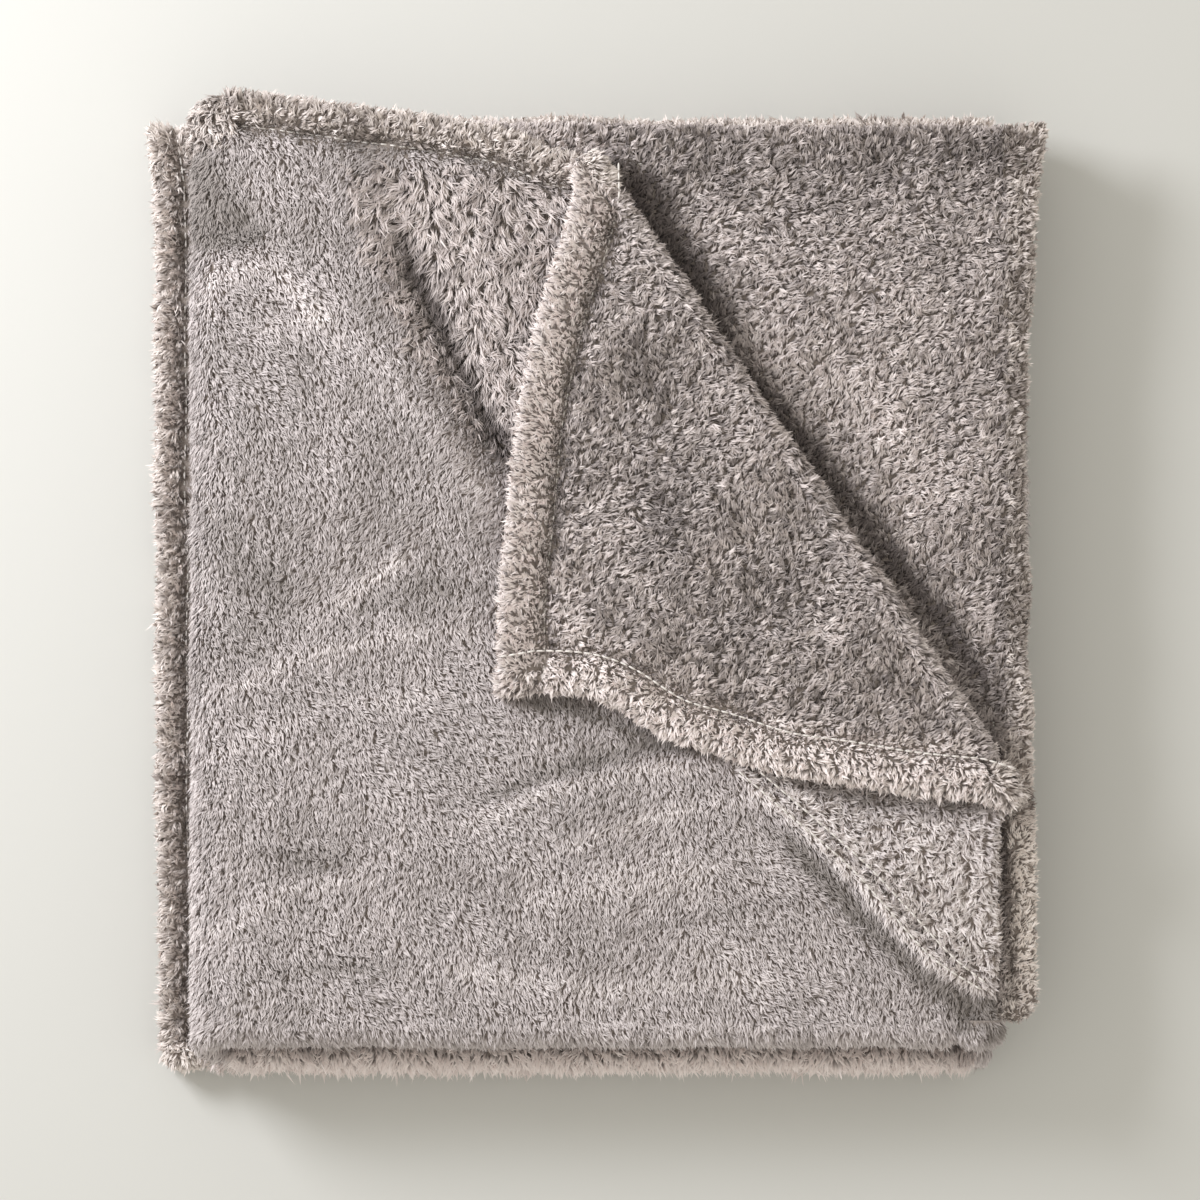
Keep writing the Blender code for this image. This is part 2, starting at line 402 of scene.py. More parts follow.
def vertexNormals(verts, tris):
    facing = facingOf(verts, tris)
    normals = np.zeros_like(verts)
    for corner in range(3):
        np.add.at(normals, tris[:, corner], facing)
    length = np.linalg.norm(normals, axis=1, keepdims=True)
    return normals / np.maximum(length, 1e-12)


# How wide each border looks, from the cloth's edge to its stitching, where it differs from the rest.
borderWidths = {"layer1_top": 0.0195, "corner_flap_left": 0.0265, "corner_flap_lower": 0.0245,
                "layer5_left": 0.0165, "layer6_left": 0.0165}


def borderScale(name, side):
    return throw["hemWidth"] / borderWidths.get(f"{name}_{side}", 0.025)


def borderedSides(name, sides, hems, plain):
    return [(sides[side], borderScale(name, side)) for side in hems if side not in plain]


def fromHems(points, bordered):
    # Distance from the hemmed edges, and which edge it is from. Where two borders meet, the first runs through.
    away = np.full(len(points), 1e9)
    which = np.full(len(points), -1)
    for number, (line, scale) in enumerate(bordered):
        near = distanceTo(points, line)[0]
        ruffle = waves(points[:, 0], points[:, 1], 0.022, 19)
        near = near * (scale + 0.5 * np.clip(near, 0, 0.03) / 0.03 * ruffle * 0.16)
        closer = (near < away) & (away > throw["hemWidth"])
        away[closer], which[closer] = near[closer], number
    return away, which


def hemProfile(away):
    # Half the backing's thickness by distance from a hemmed edge, and how deep the stitched groove is there.
    half = throw["backing"] / 2
    rim = np.clip(away / half, 0, 1)
    thick = half * np.sqrt(np.clip(1 - (1 - rim) ** 2, 0.02, 1))
    inHem = np.clip(1 - np.abs(away / throw["hemWidth"] - 0.5) * 2, 0, 1)
    thick = thick + throw["hemSwell"] * np.sin(inHem * math.pi / 2)
    depth = throw["grooveDepth"] * np.exp(-((away - throw["hemWidth"]) / throw["grooveWidth"]) ** 2)
    return thick, depth


def closeBody(upper, lower, tris):
    # Two matching skins and the walls between their free edges make one closed body.
    total = len(upper)
    directed = np.vstack([tris[:, [0, 1]], tris[:, [1, 2]], tris[:, [2, 0]]])
    _, inverse, counts = np.unique(np.sort(directed, axis=1), axis=0, return_inverse=True, return_counts=True)
    free = directed[counts[inverse.ravel()] == 1]
    walls = np.vstack([np.column_stack([free[:, 1], free[:, 0], free[:, 0] + total]),
                       np.column_stack([free[:, 1], free[:, 0] + total, free[:, 1] + total])])
    return np.vstack([upper, lower]), np.vstack([tris, tris[:, ::-1] + total, walls])


def layerShape(name, sides, hems, plain, middle, relief, step):
    # The backing of one layer as a closed body: thin at its hemmed rims, dented along the stitching.
    outline = np.vstack([line[:-1] for line in sides.values()])
    count = len(outline)
    low, high = outline.min(0), outline.max(0)
    xs = np.arange(low[0], high[0], step)
    ys = np.arange(low[1], high[1], step * 0.87)
    grid = np.array([(x + (row % 2) * step / 2, y) for row, y in enumerate(ys) for x in xs])
    grid = grid[insidePolygon(grid, outline)]
    closed = np.vstack([outline, outline[:1]])
    away, _ = distanceTo(grid, closed)
    grid = grid[away > throw["rimClear"]]
    rows = [grid]
    for inset in throw["rimRows"]:
        for line in sides.values():
            row = line + inset * inwardOf(line)
            near, _ = distanceTo(row, closed)
            rows.append(row[(near > inset * 0.95) & insidePolygon(row, outline)])
    flatPoints = np.vstack([outline, *rows])
    ring = [(i, (i + 1) % count) for i in range(count)]
    corners, _, faces, *_ = delaunay_2d_cdt([Vector(p) for p in flatPoints], ring, [list(range(count))], 1, 1e-7)
    flatPoints = np.array([tuple(p) for p in corners])
    tris = np.array([list(f) for f in faces])
    a, b, c = flatPoints[tris[:, 0]], flatPoints[tris[:, 1]], flatPoints[tris[:, 2]]
    turned = (b[:, 0] - a[:, 0]) * (c[:, 1] - a[:, 1]) - (b[:, 1] - a[:, 1]) * (c[:, 0] - a[:, 0]) < 0
    tris[turned] = tris[turned][:, ::-1]
    hemAway, which = fromHems(flatPoints, borderedSides(name, sides, hems, plain))
    thick, depth = hemProfile(hemAway)
    for number, side in enumerate([side for side in hems if side not in plain] + list(plain)):
        away, _ = distanceTo(flatPoints, sides[side])
        rounding = throw["plainRounding"] * (1 if side in plain else 0.6)
        rim = np.where((which == number) & (side not in plain), 1, np.clip(away / rounding, 0, 1))
        thick = thick * np.sqrt(np.clip(1 - (1 - rim) ** 2, 0.02, 1))
    shape = relief(flatPoints[:, 0], flatPoints[:, 1])
    top = middle + thick - depth + shape
    bottom = middle - thick + depth * 0.5 + 0.3 * np.minimum(shape, 0)
    return closeBody(np.column_stack([flatPoints, top]), np.column_stack([flatPoints, bottom]), tris)


def sweptShape(centre, normal, away):
    # The backing of a fold, from a grid of points in the middle of the cloth, outward directions, and distances
    # from a hem.
    n, m = centre.shape[:2]
    thick, depth = hemProfile(away)
    outer = centre + normal * (thick - depth)[..., None]
    inner = centre - normal * (thick - depth * 0.5)[..., None]
    i, j = np.meshgrid(np.arange(n - 1), np.arange(m - 1), indexing="ij")
    a = (i * m + j).ravel()
    tris = np.vstack([np.column_stack([a, a + 1, a + m + 1]), np.column_stack([a, a + m + 1, a + m])])
    flatCentre, flatNormal = centre.reshape(-1, 3), normal.reshape(-1, 3)
    facing = facingOf(flatCentre, tris)
    if np.sum(facing * flatNormal[tris[:, 0]]) < 0:
        tris = tris[:, ::-1]
    area = float(np.linalg.norm(facing, axis=1).sum() / 2)
    verts, faces = closeBody(outer.reshape(-1, 3), inner.reshape(-1, 3), tris)
    return verts, faces, len(tris), area


def unit(vectors):
    return vectors / np.maximum(np.linalg.norm(vectors, axis=1, keepdims=True), 1e-9)


def cellNumber(points, size):
    cells = np.floor(points / size).astype(np.int64) + 5000
    return (cells[:, 0] * 10000 + cells[:, 1]) * 10000 + cells[:, 2]


def scatter(verts, tris, spacing, rng):
    # Points spread evenly over the faces, at most one to a cell of that size, with their normals.
    a, b, c = verts[tris[:, 0]], verts[tris[:, 1]], verts[tris[:, 2]]
    areas = np.linalg.norm(np.cross(b - a, c - a), axis=1) / 2
    count = int(2.6 * areas.sum() / spacing**2)
    chosen = np.searchsorted(np.cumsum(areas), rng.random(count) * areas.sum()).clip(0, len(tris) - 1)
    u, v = rng.random((2, count))
    flip = u + v > 1
    u[flip], v[flip] = 1 - u[flip], 1 - v[flip]
    places = a[chosen] + (b - a)[chosen] * u[:, None] + (c - a)[chosen] * v[:, None]
    normals = vertexNormals(verts, tris)
    facing = normals[tris[chosen, 0]] * (1 - u - v)[:, None] + normals[tris[chosen, 1]] * u[:, None] \
        + normals[tris[chosen, 2]] * v[:, None]
    _, first = np.unique(cellNumber(places, spacing), return_index=True)
    return places[first], unit(facing[first])


def gatherInto(places, size):
    # Pile clumps: the number of the wandering cell that each root stands in, and the middle of that cell's roots.
    warped = places + 0.35 * size * np.stack([
        waves(places[:, 0] + places[:, 2], places[:, 1], 2.3 * size, 11),
        waves(places[:, 1] + places[:, 2], places[:, 0], 2.1 * size, 12),
        waves(places[:, 0], places[:, 2], 2.5 * size, 13)], axis=1)
    _, group = np.unique(cellNumber(warped, size), return_inverse=True)
    group = group.ravel()
    members = np.bincount(group)
    middle = np.stack([np.bincount(group, weights=places[:, k]) / members for k in range(3)], axis=1)
    return group, len(members), middle[group]


def turnedBy(angle, flow, side):
    cos, sin = np.cos(angle)[:, None], np.sin(angle)[:, None]
    return flow * cos + side * sin, side * cos - flow * sin


# How a strand is built: shares of its length, its lean and its clump, with lengths in metres.
strand = {"clumpLength": 0.12, "wideClump": 2.6, "wideTurn": 0.7, "leastLean": 0.1, "mostLean": 1.35,
          "kneeLean": 0.72, "mostHook": 1.75, "kneePull": 0.45, "tipPull": 0.55, "kneeCurl": 0.15,
          "widthSpread": 0.2, "rootWidth": 0.85, "rootDepth": 0.0008, "floorLow": 0.0004, "floorSpread": 0.0012}


def growPile(places, normals, flow, kind, rng, short=1.0):
    # Strands of pile as fine tapered ribbons bent once, drawn into clumps, and a tone for each.
    count = len(places)
    flow = unit(flow - normals * np.sum(flow * normals, axis=1, keepdims=True) + 1e-5)
    side = np.cross(normals, flow)
    group, groups, middle = gatherInto(places, kind["clump"])
    wide, widest, _ = gatherInto(places, kind["clump"] * strand["wideClump"])
    turn = rng.normal(0, kind["scatter"], count) + rng.normal(0, kind["clumpTurn"], groups)[group]
    turn += rng.normal(0, kind["clumpTurn"] * strand["wideTurn"], widest)[wide]
    flow, side = turnedBy(turn, flow, side)
    uneven = rng.normal(0, kind["uneven"], count) + rng.normal(0, strand["clumpLength"], groups)[group]
    length = kind["length"] * np.exp(uneven) * short
    lean = rng.normal(kind["lean"], kind["leanSpread"], count) + rng.normal(0, kind["leanSpread"], groups)[group]
    lean = np.clip(lean, strand["leastLean"], strand["mostLean"])
    curl = rng.normal(0, kind["curl"], groups)[group] + rng.normal(0, kind["curl"] * 0.5, count)
    pull = kind["gather"] * (middle - places)
    first = lean * strand["kneeLean"]
    second = np.clip(lean * kind["hook"], 0, strand["mostHook"])
    knee = places + length[:, None] * 0.5 * (normals * np.cos(first)[:, None] + flow * np.sin(first)[:, None])
    knee += strand["kneePull"] * pull + side * (curl * length * strand["kneeCurl"])[:, None]
    bentFlow, _ = turnedBy(curl, flow, side)
    tip = knee + length[:, None] * 0.5 * (normals * np.cos(second)[:, None] + bentFlow * np.sin(second)[:, None])
    tip = tip + strand["tipPull"] * pull
    roll = rng.normal(0, kind["roll"], count)
    width = kind["width"] * np.exp(rng.normal(0, strand["widthSpread"], count))
    across = (side * np.cos(roll)[:, None] + normals * np.sin(roll)[:, None]) * (width / 2)[:, None]
    root = places - normals * strand["rootDepth"]
    narrow = strand["rootWidth"] * across
    strands = np.stack([root + narrow, root - narrow, knee + across, knee - across, tip], axis=1)
    # The throw rests on its pile.
    floorHeight = strand["floorLow"] + strand["floorSpread"] * rng.random(count)[:, None]
    strands[:, :, 2] = np.maximum(strands[:, :, 2], floorHeight)
    tone = kind["tone"] + rng.normal(0, kind["strandTone"], count)
    return strands, tone + rng.normal(0, kind["clumpTone"], groups)[group]


strandQuad = np.array([[1, 3, 2, 0]])
strandTri = np.array([[3, 4, 2]])
strandRise = np.array([0, 0, 0.5, 0.5, 1.0])
strandAcross = np.array([-1, 1, -1, 1, 0])
mostStrands = 62000


def pileObjects(name, strands, tones, look, straight):
    # As many pieces as keep each under the triangle limit, cut across Y. Pile that lies inside the folds is
    # straight blades of one triangle.
    rise, across, quad, tri = strandRise, strandAcross, strandQuad, strandTri
    if straight:
        strands, rise, across = strands[:, [0, 1, 4]], strandRise[[0, 1, 4]], strandAcross[[0, 1, 4]]
        quad, tri = np.zeros((0, 4), int), np.array([[1, 2, 0]])
    order = np.argsort(strands[:, 0, 1], kind="stable")
    parts = max(1, math.ceil(len(order) / (2 * mostStrands if straight else mostStrands)))
    made = []
    for number, part in enumerate(np.array_split(order, parts)):
        base = (np.arange(len(part)) * len(rise))[:, None, None]
        quads = (quad[None] + base).reshape(-1, 4)
        tris = (tri[None] + base).reshape(-1, 3)
        label = name if parts == 1 else f"{name}{number + 1}"
        obj = meshObject(label, strands[part].reshape(-1, 3), (quads, tris), looks[look])
        u = np.clip(tones[part], 0.01, 0.99)[:, None] + across[None] * 0.006
        v = np.broadcast_to(rise * 0.96 + 0.02, u.shape)
        uv = np.stack([u.ravel(), v.ravel()], axis=1)
        corners = np.zeros(len(obj.data.loops), np.int32)
        obj.data.loops.foreach_get("vertex_index", corners)
        ownMap = obj.data.uv_layers.new(name="OFBake")
        ownMap.data.foreach_set("uv", uv[corners].astype(np.float32).ravel())
        made.append(obj)
    return made


# How each kind of pile grows. Lengths are in metres and leans in radians from upright. Curled pile differs from
# the border's in a few values only.
borderPile = {"look": "border", "spacing": 0.00126, "length": 0.0070, "width": 0.00128, "lean": 0.80,
              "leanSpread": 0.15, "scatter": 0.12, "uneven": 0.12, "curl": 0.55, "hook": 1.45, "clump": 0.0036,
              "gather": 0.80, "roll": 0.35, "clumpTurn": 0.46, "tone": 0.47, "strandTone": 0.05, "clumpTone": 0.13}
plushPile = {"look": "plush", "spacing": 0.00124, "length": 0.0068, "width": 0.00104, "lean": 1.02,
             "leanSpread": 0.07, "scatter": 0.18, "uneven": 0.12, "curl": 0.30, "hook": 1.15, "clump": 0.0028,
             "gather": 0.42, "roll": 0.22, "clumpTurn": 0.22, "tone": 0.44, "strandTone": 0.05, "clumpTone": 0.09}
pileKinds = {
    "plush": plushPile,
    "border": borderPile,
    "turned": {**borderPile, "look": "sherpa", "tone": 0.88, "clumpTone": 0.12},
    "sherpa": {**borderPile, "look": "sherpa", "length": 0.0074, "lean": 0.92, "leanSpread": 0.13,
               "scatter": 0.10, "uneven": 0.10, "clump": 0.0034, "clumpTurn": 0.42, "tone": 0.42,
               "strandTone": 0.04, "clumpTone": 0.15},
    "shaggy": {**borderPile, "look": "sherpa", "spacing": 0.00120, "length": 0.0108, "width": 0.00112,
               "lean": 0.98, "leanSpread": 0.12, "uneven": 0.14, "curl": 0.45, "hook": 1.3, "clump": 0.0048,
               "clumpTurn": 0.36, "tone": 0.56, "clumpTone": 0.12},
    "fringe": {**borderPile, "look": "sherpa", "spacing": 0.00122, "length": 0.0098, "width": 0.00125,
               "lean": 0.66, "leanSpread": 0.16, "uneven": 0.16, "curl": 0.50, "hook": 1.35, "gather": 0.76,
               "roll": 0.40, "clumpTurn": 0.50, "tone": 0.62},
    "tufted": {**borderPile, "look": "plush", "spacing": 0.00120, "length": 0.0074, "width": 0.00125, "lean": 0.88,
               "leanSpread": 0.16, "uneven": 0.14, "curl": 0.60, "gather": 0.76, "roll": 0.40, "clumpTurn": 0.60,
               "tone": 0.70},
    "inner": {**plushPile, "spacing": 0.0023, "length": 0.0084, "width": 0.0025, "lean": 1.36, "leanSpread": 0.08,
              "scatter": 0.20, "curl": 0.20, "hook": 1.1, "clump": 0.0052, "gather": 0.35, "roll": 0.35,
              "clumpTurn": 0.20},
}


def combed(places, seed, base=-1.25, spread=0.35):
    # The way the pile has been stroked: mostly towards the end folds, swirling over a hand's width.
    wide = waves(places[:, 0], places[:, 1], 0.16, seed)
    fine = waves(places[:, 0], places[:, 1], 0.05, seed + 1)
    angle = base + spread * wide + 0.2 * fine
    return np.stack([np.cos(angle), np.sin(angle), np.zeros(len(places))], axis=1)


def flat(x, y):
    return np.zeros(np.shape(x))


step = throw["step"]
creaseTop, creaseLow = (np.array(p) for p in shares((-0.040, 0.854), (0.916, -0.453)))


def wobble(line, seed, tapered=(True, True)):
    # A hand-folded edge is never straight: a slow wander of a millimetre or so, none at its ends. The pile reaches
    # over the edge, so the cloth stops short of the outline, and comes back to it where it meets another edge.
    run = np.linspace(0, 1, len(line))
    inset = np.ones(len(line))
    if tapered[0]:
        inset *= np.clip(run * 14, 0, 1)
    if tapered[1]:
        inset *= np.clip((1 - run) * 14, 0, 1)
    wander = waves(line[:, 0] * 1.3 + 5, line[:, 1] * 1.3, 0.09, seed)
    amount = throw["edgeWobble"] * np.sin(math.pi * run) * wander
    amount += throw["edgeInset"] * inset
    return line + amount[:, None] * inwardOf(line)


inset = throw["edgeInset"]
upperRight = 0.899 * halfWidth
topLayer = {
    "crease": smoothLine([creaseLow, creaseTop], step),
    "top": wobble(smoothLine([creaseTop, *shares((-0.215, 0.923), (-0.436, 0.957), (-0.657, 0.984)),
                              (leftAxis, halfDepth)], step), 21, (True, False)),
    "fold": smoothLine([(leftAxis, halfDepth - inset), (leftAxis, upperEnd)], step),
    "end": smoothLine([(leftAxis, upperEnd), (upperRight, upperEnd)], step),
    "right": wobble(smoothLine([(upperRight, upperEnd), *shares((0.901, -0.560)), creaseLow], step), 22,
                    (False, True)),
}
cornerFlap = {
    "crease": smoothLine([creaseLow, creaseTop], step),
    "left": wobble(smoothLine([creaseTop, *shares((-0.074, 0.711), (-0.151, 0.469), (-0.185, 0.266),
                                                  (-0.218, -0.037), (-0.215, -0.227))], step), 23),
    "lower": wobble(smoothLine([*shares((-0.215, -0.227), (0.0, -0.242), (0.201, -0.337), (0.520, -0.410),
                                        (0.750, -0.437)), creaseLow], step), 24),
}
secondLayer = {
    "top": wobble(smoothLine(shares((1.0, 0.931)) + [(leftAxis, 0.948 * halfDepth)], step), 25, (True, False)),
    "fold": smoothLine([(leftAxis, 0.948 * halfDepth - inset), (leftAxis, upperEnd)], step),
    "end": smoothLine([(leftAxis, upperEnd), (upperRight, upperEnd)], step),
    "right": wobble(smoothLine([(upperRight, upperEnd), *shares(
        (0.945, -0.905), (0.990, -0.862), (0.990, -0.780), (0.988, -0.582), (0.971, -0.037), (0.965, 0.266),
        (0.982, 0.568), (1.0, 0.931))], step), 26, (False, True)),
}


def middleOutline(top, seed):
    hem = top * halfDepth
    return {
        "top": wobble(smoothLine([(rightAxis, hem), (leftAxis, hem)], step), seed, (False, False)),
        "fold": smoothLine([(leftAxis, hem - inset), (leftAxis, middleEnd)], step),
        "end": smoothLine([(leftAxis, middleEnd), (rightAxis, middleEnd)], step),
        "side": smoothLine([(rightAxis, middleEnd), (rightAxis, hem - inset)], step),
    }


def lowerOutline(top, left, seed):
    hem = top * halfDepth
    corner = 0.985 * left * halfWidth
    return {
        "top": wobble(smoothLine([(rightAxis, hem), (left * halfWidth, hem)], step), seed, (False, True)),
        "left": wobble(smoothLine([*shares((left, top), (0.995 * left, 0.5), (0.99 * left, -0.4)),
                                   (corner, lowerEnd)], step), seed + 1, (True, False)),
        "end": smoothLine([(corner + inset, lowerEnd), (rightAxis, lowerEnd)], step),
        "side": smoothLine([(rightAxis, lowerEnd), (rightAxis, hem - inset)], step),
    }


def strokeSum(x, y, strokes):
    # Adds up strokes given as (points in shares of the half size, width in metres, strength), soft across and at
    # their ends: painted light and shade for the pile's tone, or the cloth's rise and sink.
    places = np.column_stack([x, y])
    total = np.zeros(len(places))
    for points, width, strength in strokes:
        line = np.array(shares(*points))
        near = np.all((places > line.min(0) - 3 * width) & (places < line.max(0) + 3 * width), axis=1)
        if near.any():
            away, share = distanceTo(places[near], line)
            ends = np.clip(5 * share + 0.3, 0, 1) * np.clip(5.3 - 5 * share, 0, 1)
            total[near] += strength * np.exp(-((away / width) ** 2)) * ends
    return total


# Lines that both the pile's painted light and shade and the cloth's relief follow, in shares of the half size.
crossWrinkle = [(-0.302, -0.448), (-0.081, -0.371), (0.141, -0.324), (0.274, -0.328)]
crossCrest = [(-0.313, -0.492), (-0.125, -0.421), (0.096, -0.371), (0.274, -0.365)]
lowSwell = [(-0.147, -0.654), (0.008, -0.603), (0.285, -0.573)]
shortCrest = [(-0.590, -0.054), (-0.502, 0.009), (-0.409, 0.068)]
leftCrest = [(-0.889, -0.725), (-0.679, -0.614), (-0.479, -0.583)]
longCrest = [(-0.889, -0.240), (-0.657, -0.149), (-0.435, -0.098), (-0.258, -0.088)]
ridgeEdge = [(0.307, -0.377), (0.420, -0.466), (0.550, -0.567), (0.632, -0.648), (0.743, -0.759), (0.894, -0.842)]
ridgeSide = [(0.373, -0.377), (0.484, -0.466), (0.610, -0.571), (0.699, -0.654), (0.805, -0.765)]

# Painted light and shade in the pile's tone: highlights on crests and the raised seam, shade in the valley, dents
# and wrinkles, painted shadow beside creases and edges and under the turned corner, and lighter or darker where
# the stroked pile catches or loses the light.
topStrokes = [
    ([(-0.430, 0.700), (-0.364, 0.569), (-0.280, 0.407), (-0.187, 0.236)], 0.0085, -0.62),
    ([(-0.557, 0.529), (-0.435, 0.403), (-0.324, 0.286), (-0.214, 0.134)], 0.0075, 0.2),
    ([(-0.896, 0.727), (-0.852, 0.698), (-0.794, 0.702), (-0.741, 0.727)], 0.0060, -0.60),
    ([(-0.900, 0.892), (-0.874, 0.802), (-0.829, 0.741), (-0.767, 0.723)], 0.0150, -0.42),
    ([(-0.896, 0.529), (-0.845, 0.626), (-0.723, 0.646), (-0.590, 0.508)], 0.0085, 0.36),
    ([(-0.767, 0.508), (-0.590, 0.549)], 0.0075, 0.24),
    (shortCrest, 0.0055, 0.42),
    ([(-0.546, -0.043), (-0.391, -0.003), (-0.214, -0.001)], 0.009, -0.2),
    ([(-0.734, 0.043), (-0.719, -0.037), (-0.801, -0.159)], 0.013, -0.22),
    ([(-0.812, 0.165), (-0.790, -0.037)], 0.018, -0.12),
    (crossWrinkle, 0.0060, -0.36),
    (crossCrest, 0.0050, 0.34),
    (lowSwell, 0.012, 0.26),
    ([(0.185, -0.769), (0.329, -0.745)], 0.014, 0.2),
    ([(0.008, -0.715), (0.318, -0.654), (0.584, -0.614)], 0.005, -0.14),
    ([(-0.812, -0.795), (-0.590, -0.769), (-0.435, -0.765)], 0.006, -0.2),
    ([(-0.767, -0.543), (-0.546, -0.567)], 0.007, -0.26),
    (leftCrest, 0.0065, 0.27),
    (longCrest, 0.0055, 0.30),
    ([(-0.878, -0.361), (-0.590, -0.240), (-0.324, -0.219)], 0.0050, 0.22),
    ([(-0.125, -0.543), (0.229, -0.442), (0.451, -0.421)], 0.0055, 0.28),
    ([(-0.391, -0.765), (0.008, -0.816), (0.451, -0.795)], 0.0065, 0.24),
    (ridgeEdge, 0.0030, 1.10),
    (ridgeSide, 0.0026, 0.75),
    ([(0.495, -0.472), (0.628, -0.543), (0.805, -0.603), (0.860, -0.765)], 0.026, 0.2),
    ([(0.375, -0.486), (0.500, -0.590), (0.605, -0.690), (0.718, -0.785), (0.850, -0.862)], 0.0080, -0.62),
    ([(0.329, -0.365), (0.440, -0.465), (0.570, -0.567), (0.653, -0.648), (0.763, -0.757), (0.860, -0.820)],
     0.0022, -0.50),
    ([(0.462, -0.567), (0.477, -0.579)], 0.006, -0.3),
    ([(0.794, -0.862), (0.872, -0.866), (0.900, -0.917)], 0.012, -0.85),
    ([(0.362, -0.381), (0.561, -0.436), (0.672, -0.454), (0.894, -0.458)], 0.0055, -0.5),
    ([(-0.181, -0.223), (-0.114, -0.244), (-0.014, -0.256), (0.141, -0.320)], 0.006, -0.5),
    ([(-0.900, -0.240), (-0.896, -0.927)], 0.0075, 0.24),
]
# A seam of the cloth below shows through the top layer as a raised double line.
seamRidge = [
    [(0.307, -0.377), (0.420, -0.466), (0.550, -0.567), (0.632, -0.648), (0.743, -0.759), (0.872, -0.836)],
    [(0.352, -0.377), (0.464, -0.464), (0.592, -0.567), (0.676, -0.648), (0.785, -0.755), (0.872, -0.818)],
]
# Where the top layer rises and sinks.
topHollows = [
    ([(-0.440, 0.711), (-0.364, 0.569), (-0.280, 0.407), (-0.181, 0.225)], 0.0135, -0.0100),
    ([(-0.557, 0.529), (-0.435, 0.403), (-0.324, 0.286), (-0.214, 0.124)], 0.0105, 0.0026),
    ([(-0.896, 0.735), (-0.852, 0.711), (-0.794, 0.715), (-0.741, 0.739)], 0.0100, -0.0070),
    ([(-0.909, 0.872), (-0.869, 0.791), (-0.825, 0.747)], 0.0150, -0.0040),
    ([(-0.896, 0.529), (-0.845, 0.630), (-0.723, 0.646), (-0.590, 0.508)], 0.009, 0.002),
    (ridgeEdge, 0.0046, 0.0062),
    (ridgeSide, 0.0034, 0.0038),
    ([(0.451, -0.543), (0.561, -0.654), (0.739, -0.816)], 0.009, -0.0022),
    ([(0.805, -0.862), (0.894, -0.856)], 0.012, -0.0055),
    (crossWrinkle, 0.007, -0.0016),
    (crossCrest, 0.006, 0.0012),
    (lowSwell, 0.012, 0.0016),
    (shortCrest, 0.006, 0.0014),
    (leftCrest, 0.007, 0.001),
    (longCrest, 0.006, 0.001),
]
# Painted highlights on the turned corner's borders and stitched line, and lighter or darker patches of its pile.
flapStrokes = [
    ([(0.056, 0.529), (0.096, 0.367), (0.130, 0.165), (0.207, -0.017), (0.362, -0.048), (0.539, -0.037)],
     0.02, -0.16),
    ([(-0.099, -0.037), (-0.048, -0.118), (0.052, -0.175), (0.229, -0.264)], 0.011, 0.42),
    ([(-0.081, 0.043), (-0.059, -0.037)], 0.008, 0.22),
    ([(0.451, -0.118), (0.672, -0.082)], 0.005, 0.14),
    ([(-0.014, 0.812), (-0.081, 0.650), (-0.136, 0.326), (-0.187, 0.043), (-0.207, -0.179)], 0.01, 0.26),
    ([(0.096, -0.280), (0.318, -0.355), (0.561, -0.391), (0.783, -0.411)], 0.01, 0.3),
    ([(0.008, -0.175), (0.181, -0.252), (0.355, -0.284), (0.522, -0.320), (0.705, -0.341), (0.872, -0.341)],
     0.0050, 0.85),
]
# Painted shadow along the crease and the top layer's right edge, painted light on the right strip, and other
# bands.
secondStrokes = [
    ([(0.056, 0.842), (0.107, 0.741), (0.185, 0.626), (0.274, 0.498)], 0.014, -0.75),
    ([(0.274, 0.498), (0.406, 0.326), (0.584, 0.124), (0.805, -0.138), (0.894, -0.280)], 0.0085, -0.62),
    ([(0.872, 0.903), (0.949, 0.832)], 0.018, -0.4),
    ([(0.074, 0.903), (0.362, 0.860), (0.880, 0.830)], 0.036, -0.22),
    ([(0.384, 0.488), (0.584, 0.367), (0.772, 0.124)], 0.026, 0.2),
    ([(0.935, 0.771), (0.935, 0.165), (0.925, -0.240)], 0.013, -0.36),
    ([(0.905, -0.442), (0.909, -0.583), (0.916, -0.735), (0.918, -0.846)], 0.0030, -1.1),
    ([(0.894, -0.442), (0.982, -0.442)], 0.006, -0.6),
    ([(0.956, -0.502), (0.960, -0.846)], 0.012, 0.60),
]
# Painted shade in the left groove, painted light on the bottom strip, and darker at the top left and near right.
edgeStrokes = [
    ([(-0.914, 0.781), (-0.931, 0.599)], 0.01, -0.45),
    ([(-0.922, 0.367), (-0.922, -0.947)], 0.0035, -0.3),
    ([(-0.860, -0.995), (0.880, -0.995)], 0.016, 0.80),
    ([(0.783, -0.927), (0.900, -0.927)], 0.008, -0.4),
]


def topRelief(x, y):
    # The top layer sinks beside the turned corner, is dented near its folded edge, and has soft wrinkles.
    z = 0.0009 * waves(x, y, 0.11, 31) + 0.0004 * waves(x, y, 0.035, 32)
    return z + strokeSum(x, y, topHollows)


def flapRelief(x, y):
    return 0.0008 * waves(x, y, 0.09, 33) + 0.0004 * waves(x, y, 0.03, 34)


def secondRelief(x, y):
    return 0.0010 * waves(x, y, 0.10, 35) + 0.0004 * waves(x, y, 0.04, 36)


def outwardFrom(line, places):
    # Which way is out of the cloth at the nearest place of a hemmed edge.
    along = np.gradient(line, axis=0)
    out = unit(np.column_stack([along[:, 1], -along[:, 0], np.zeros(len(line))]))
    _, share = distanceTo(places[:, :2], line)
    return out[np.clip((share * (len(line) - 1)).round().astype(int), 0, len(line) - 1)]


def coarser(kind, times):
    # The same pile in fewer, wider strands, for skins that mostly lie hidden.
    return {**kind, "spacing": kind["spacing"] * times, "width": kind["width"] * times}


def spacingOf(kind, times):
    return pileKinds[kind]["spacing"] * times * 1


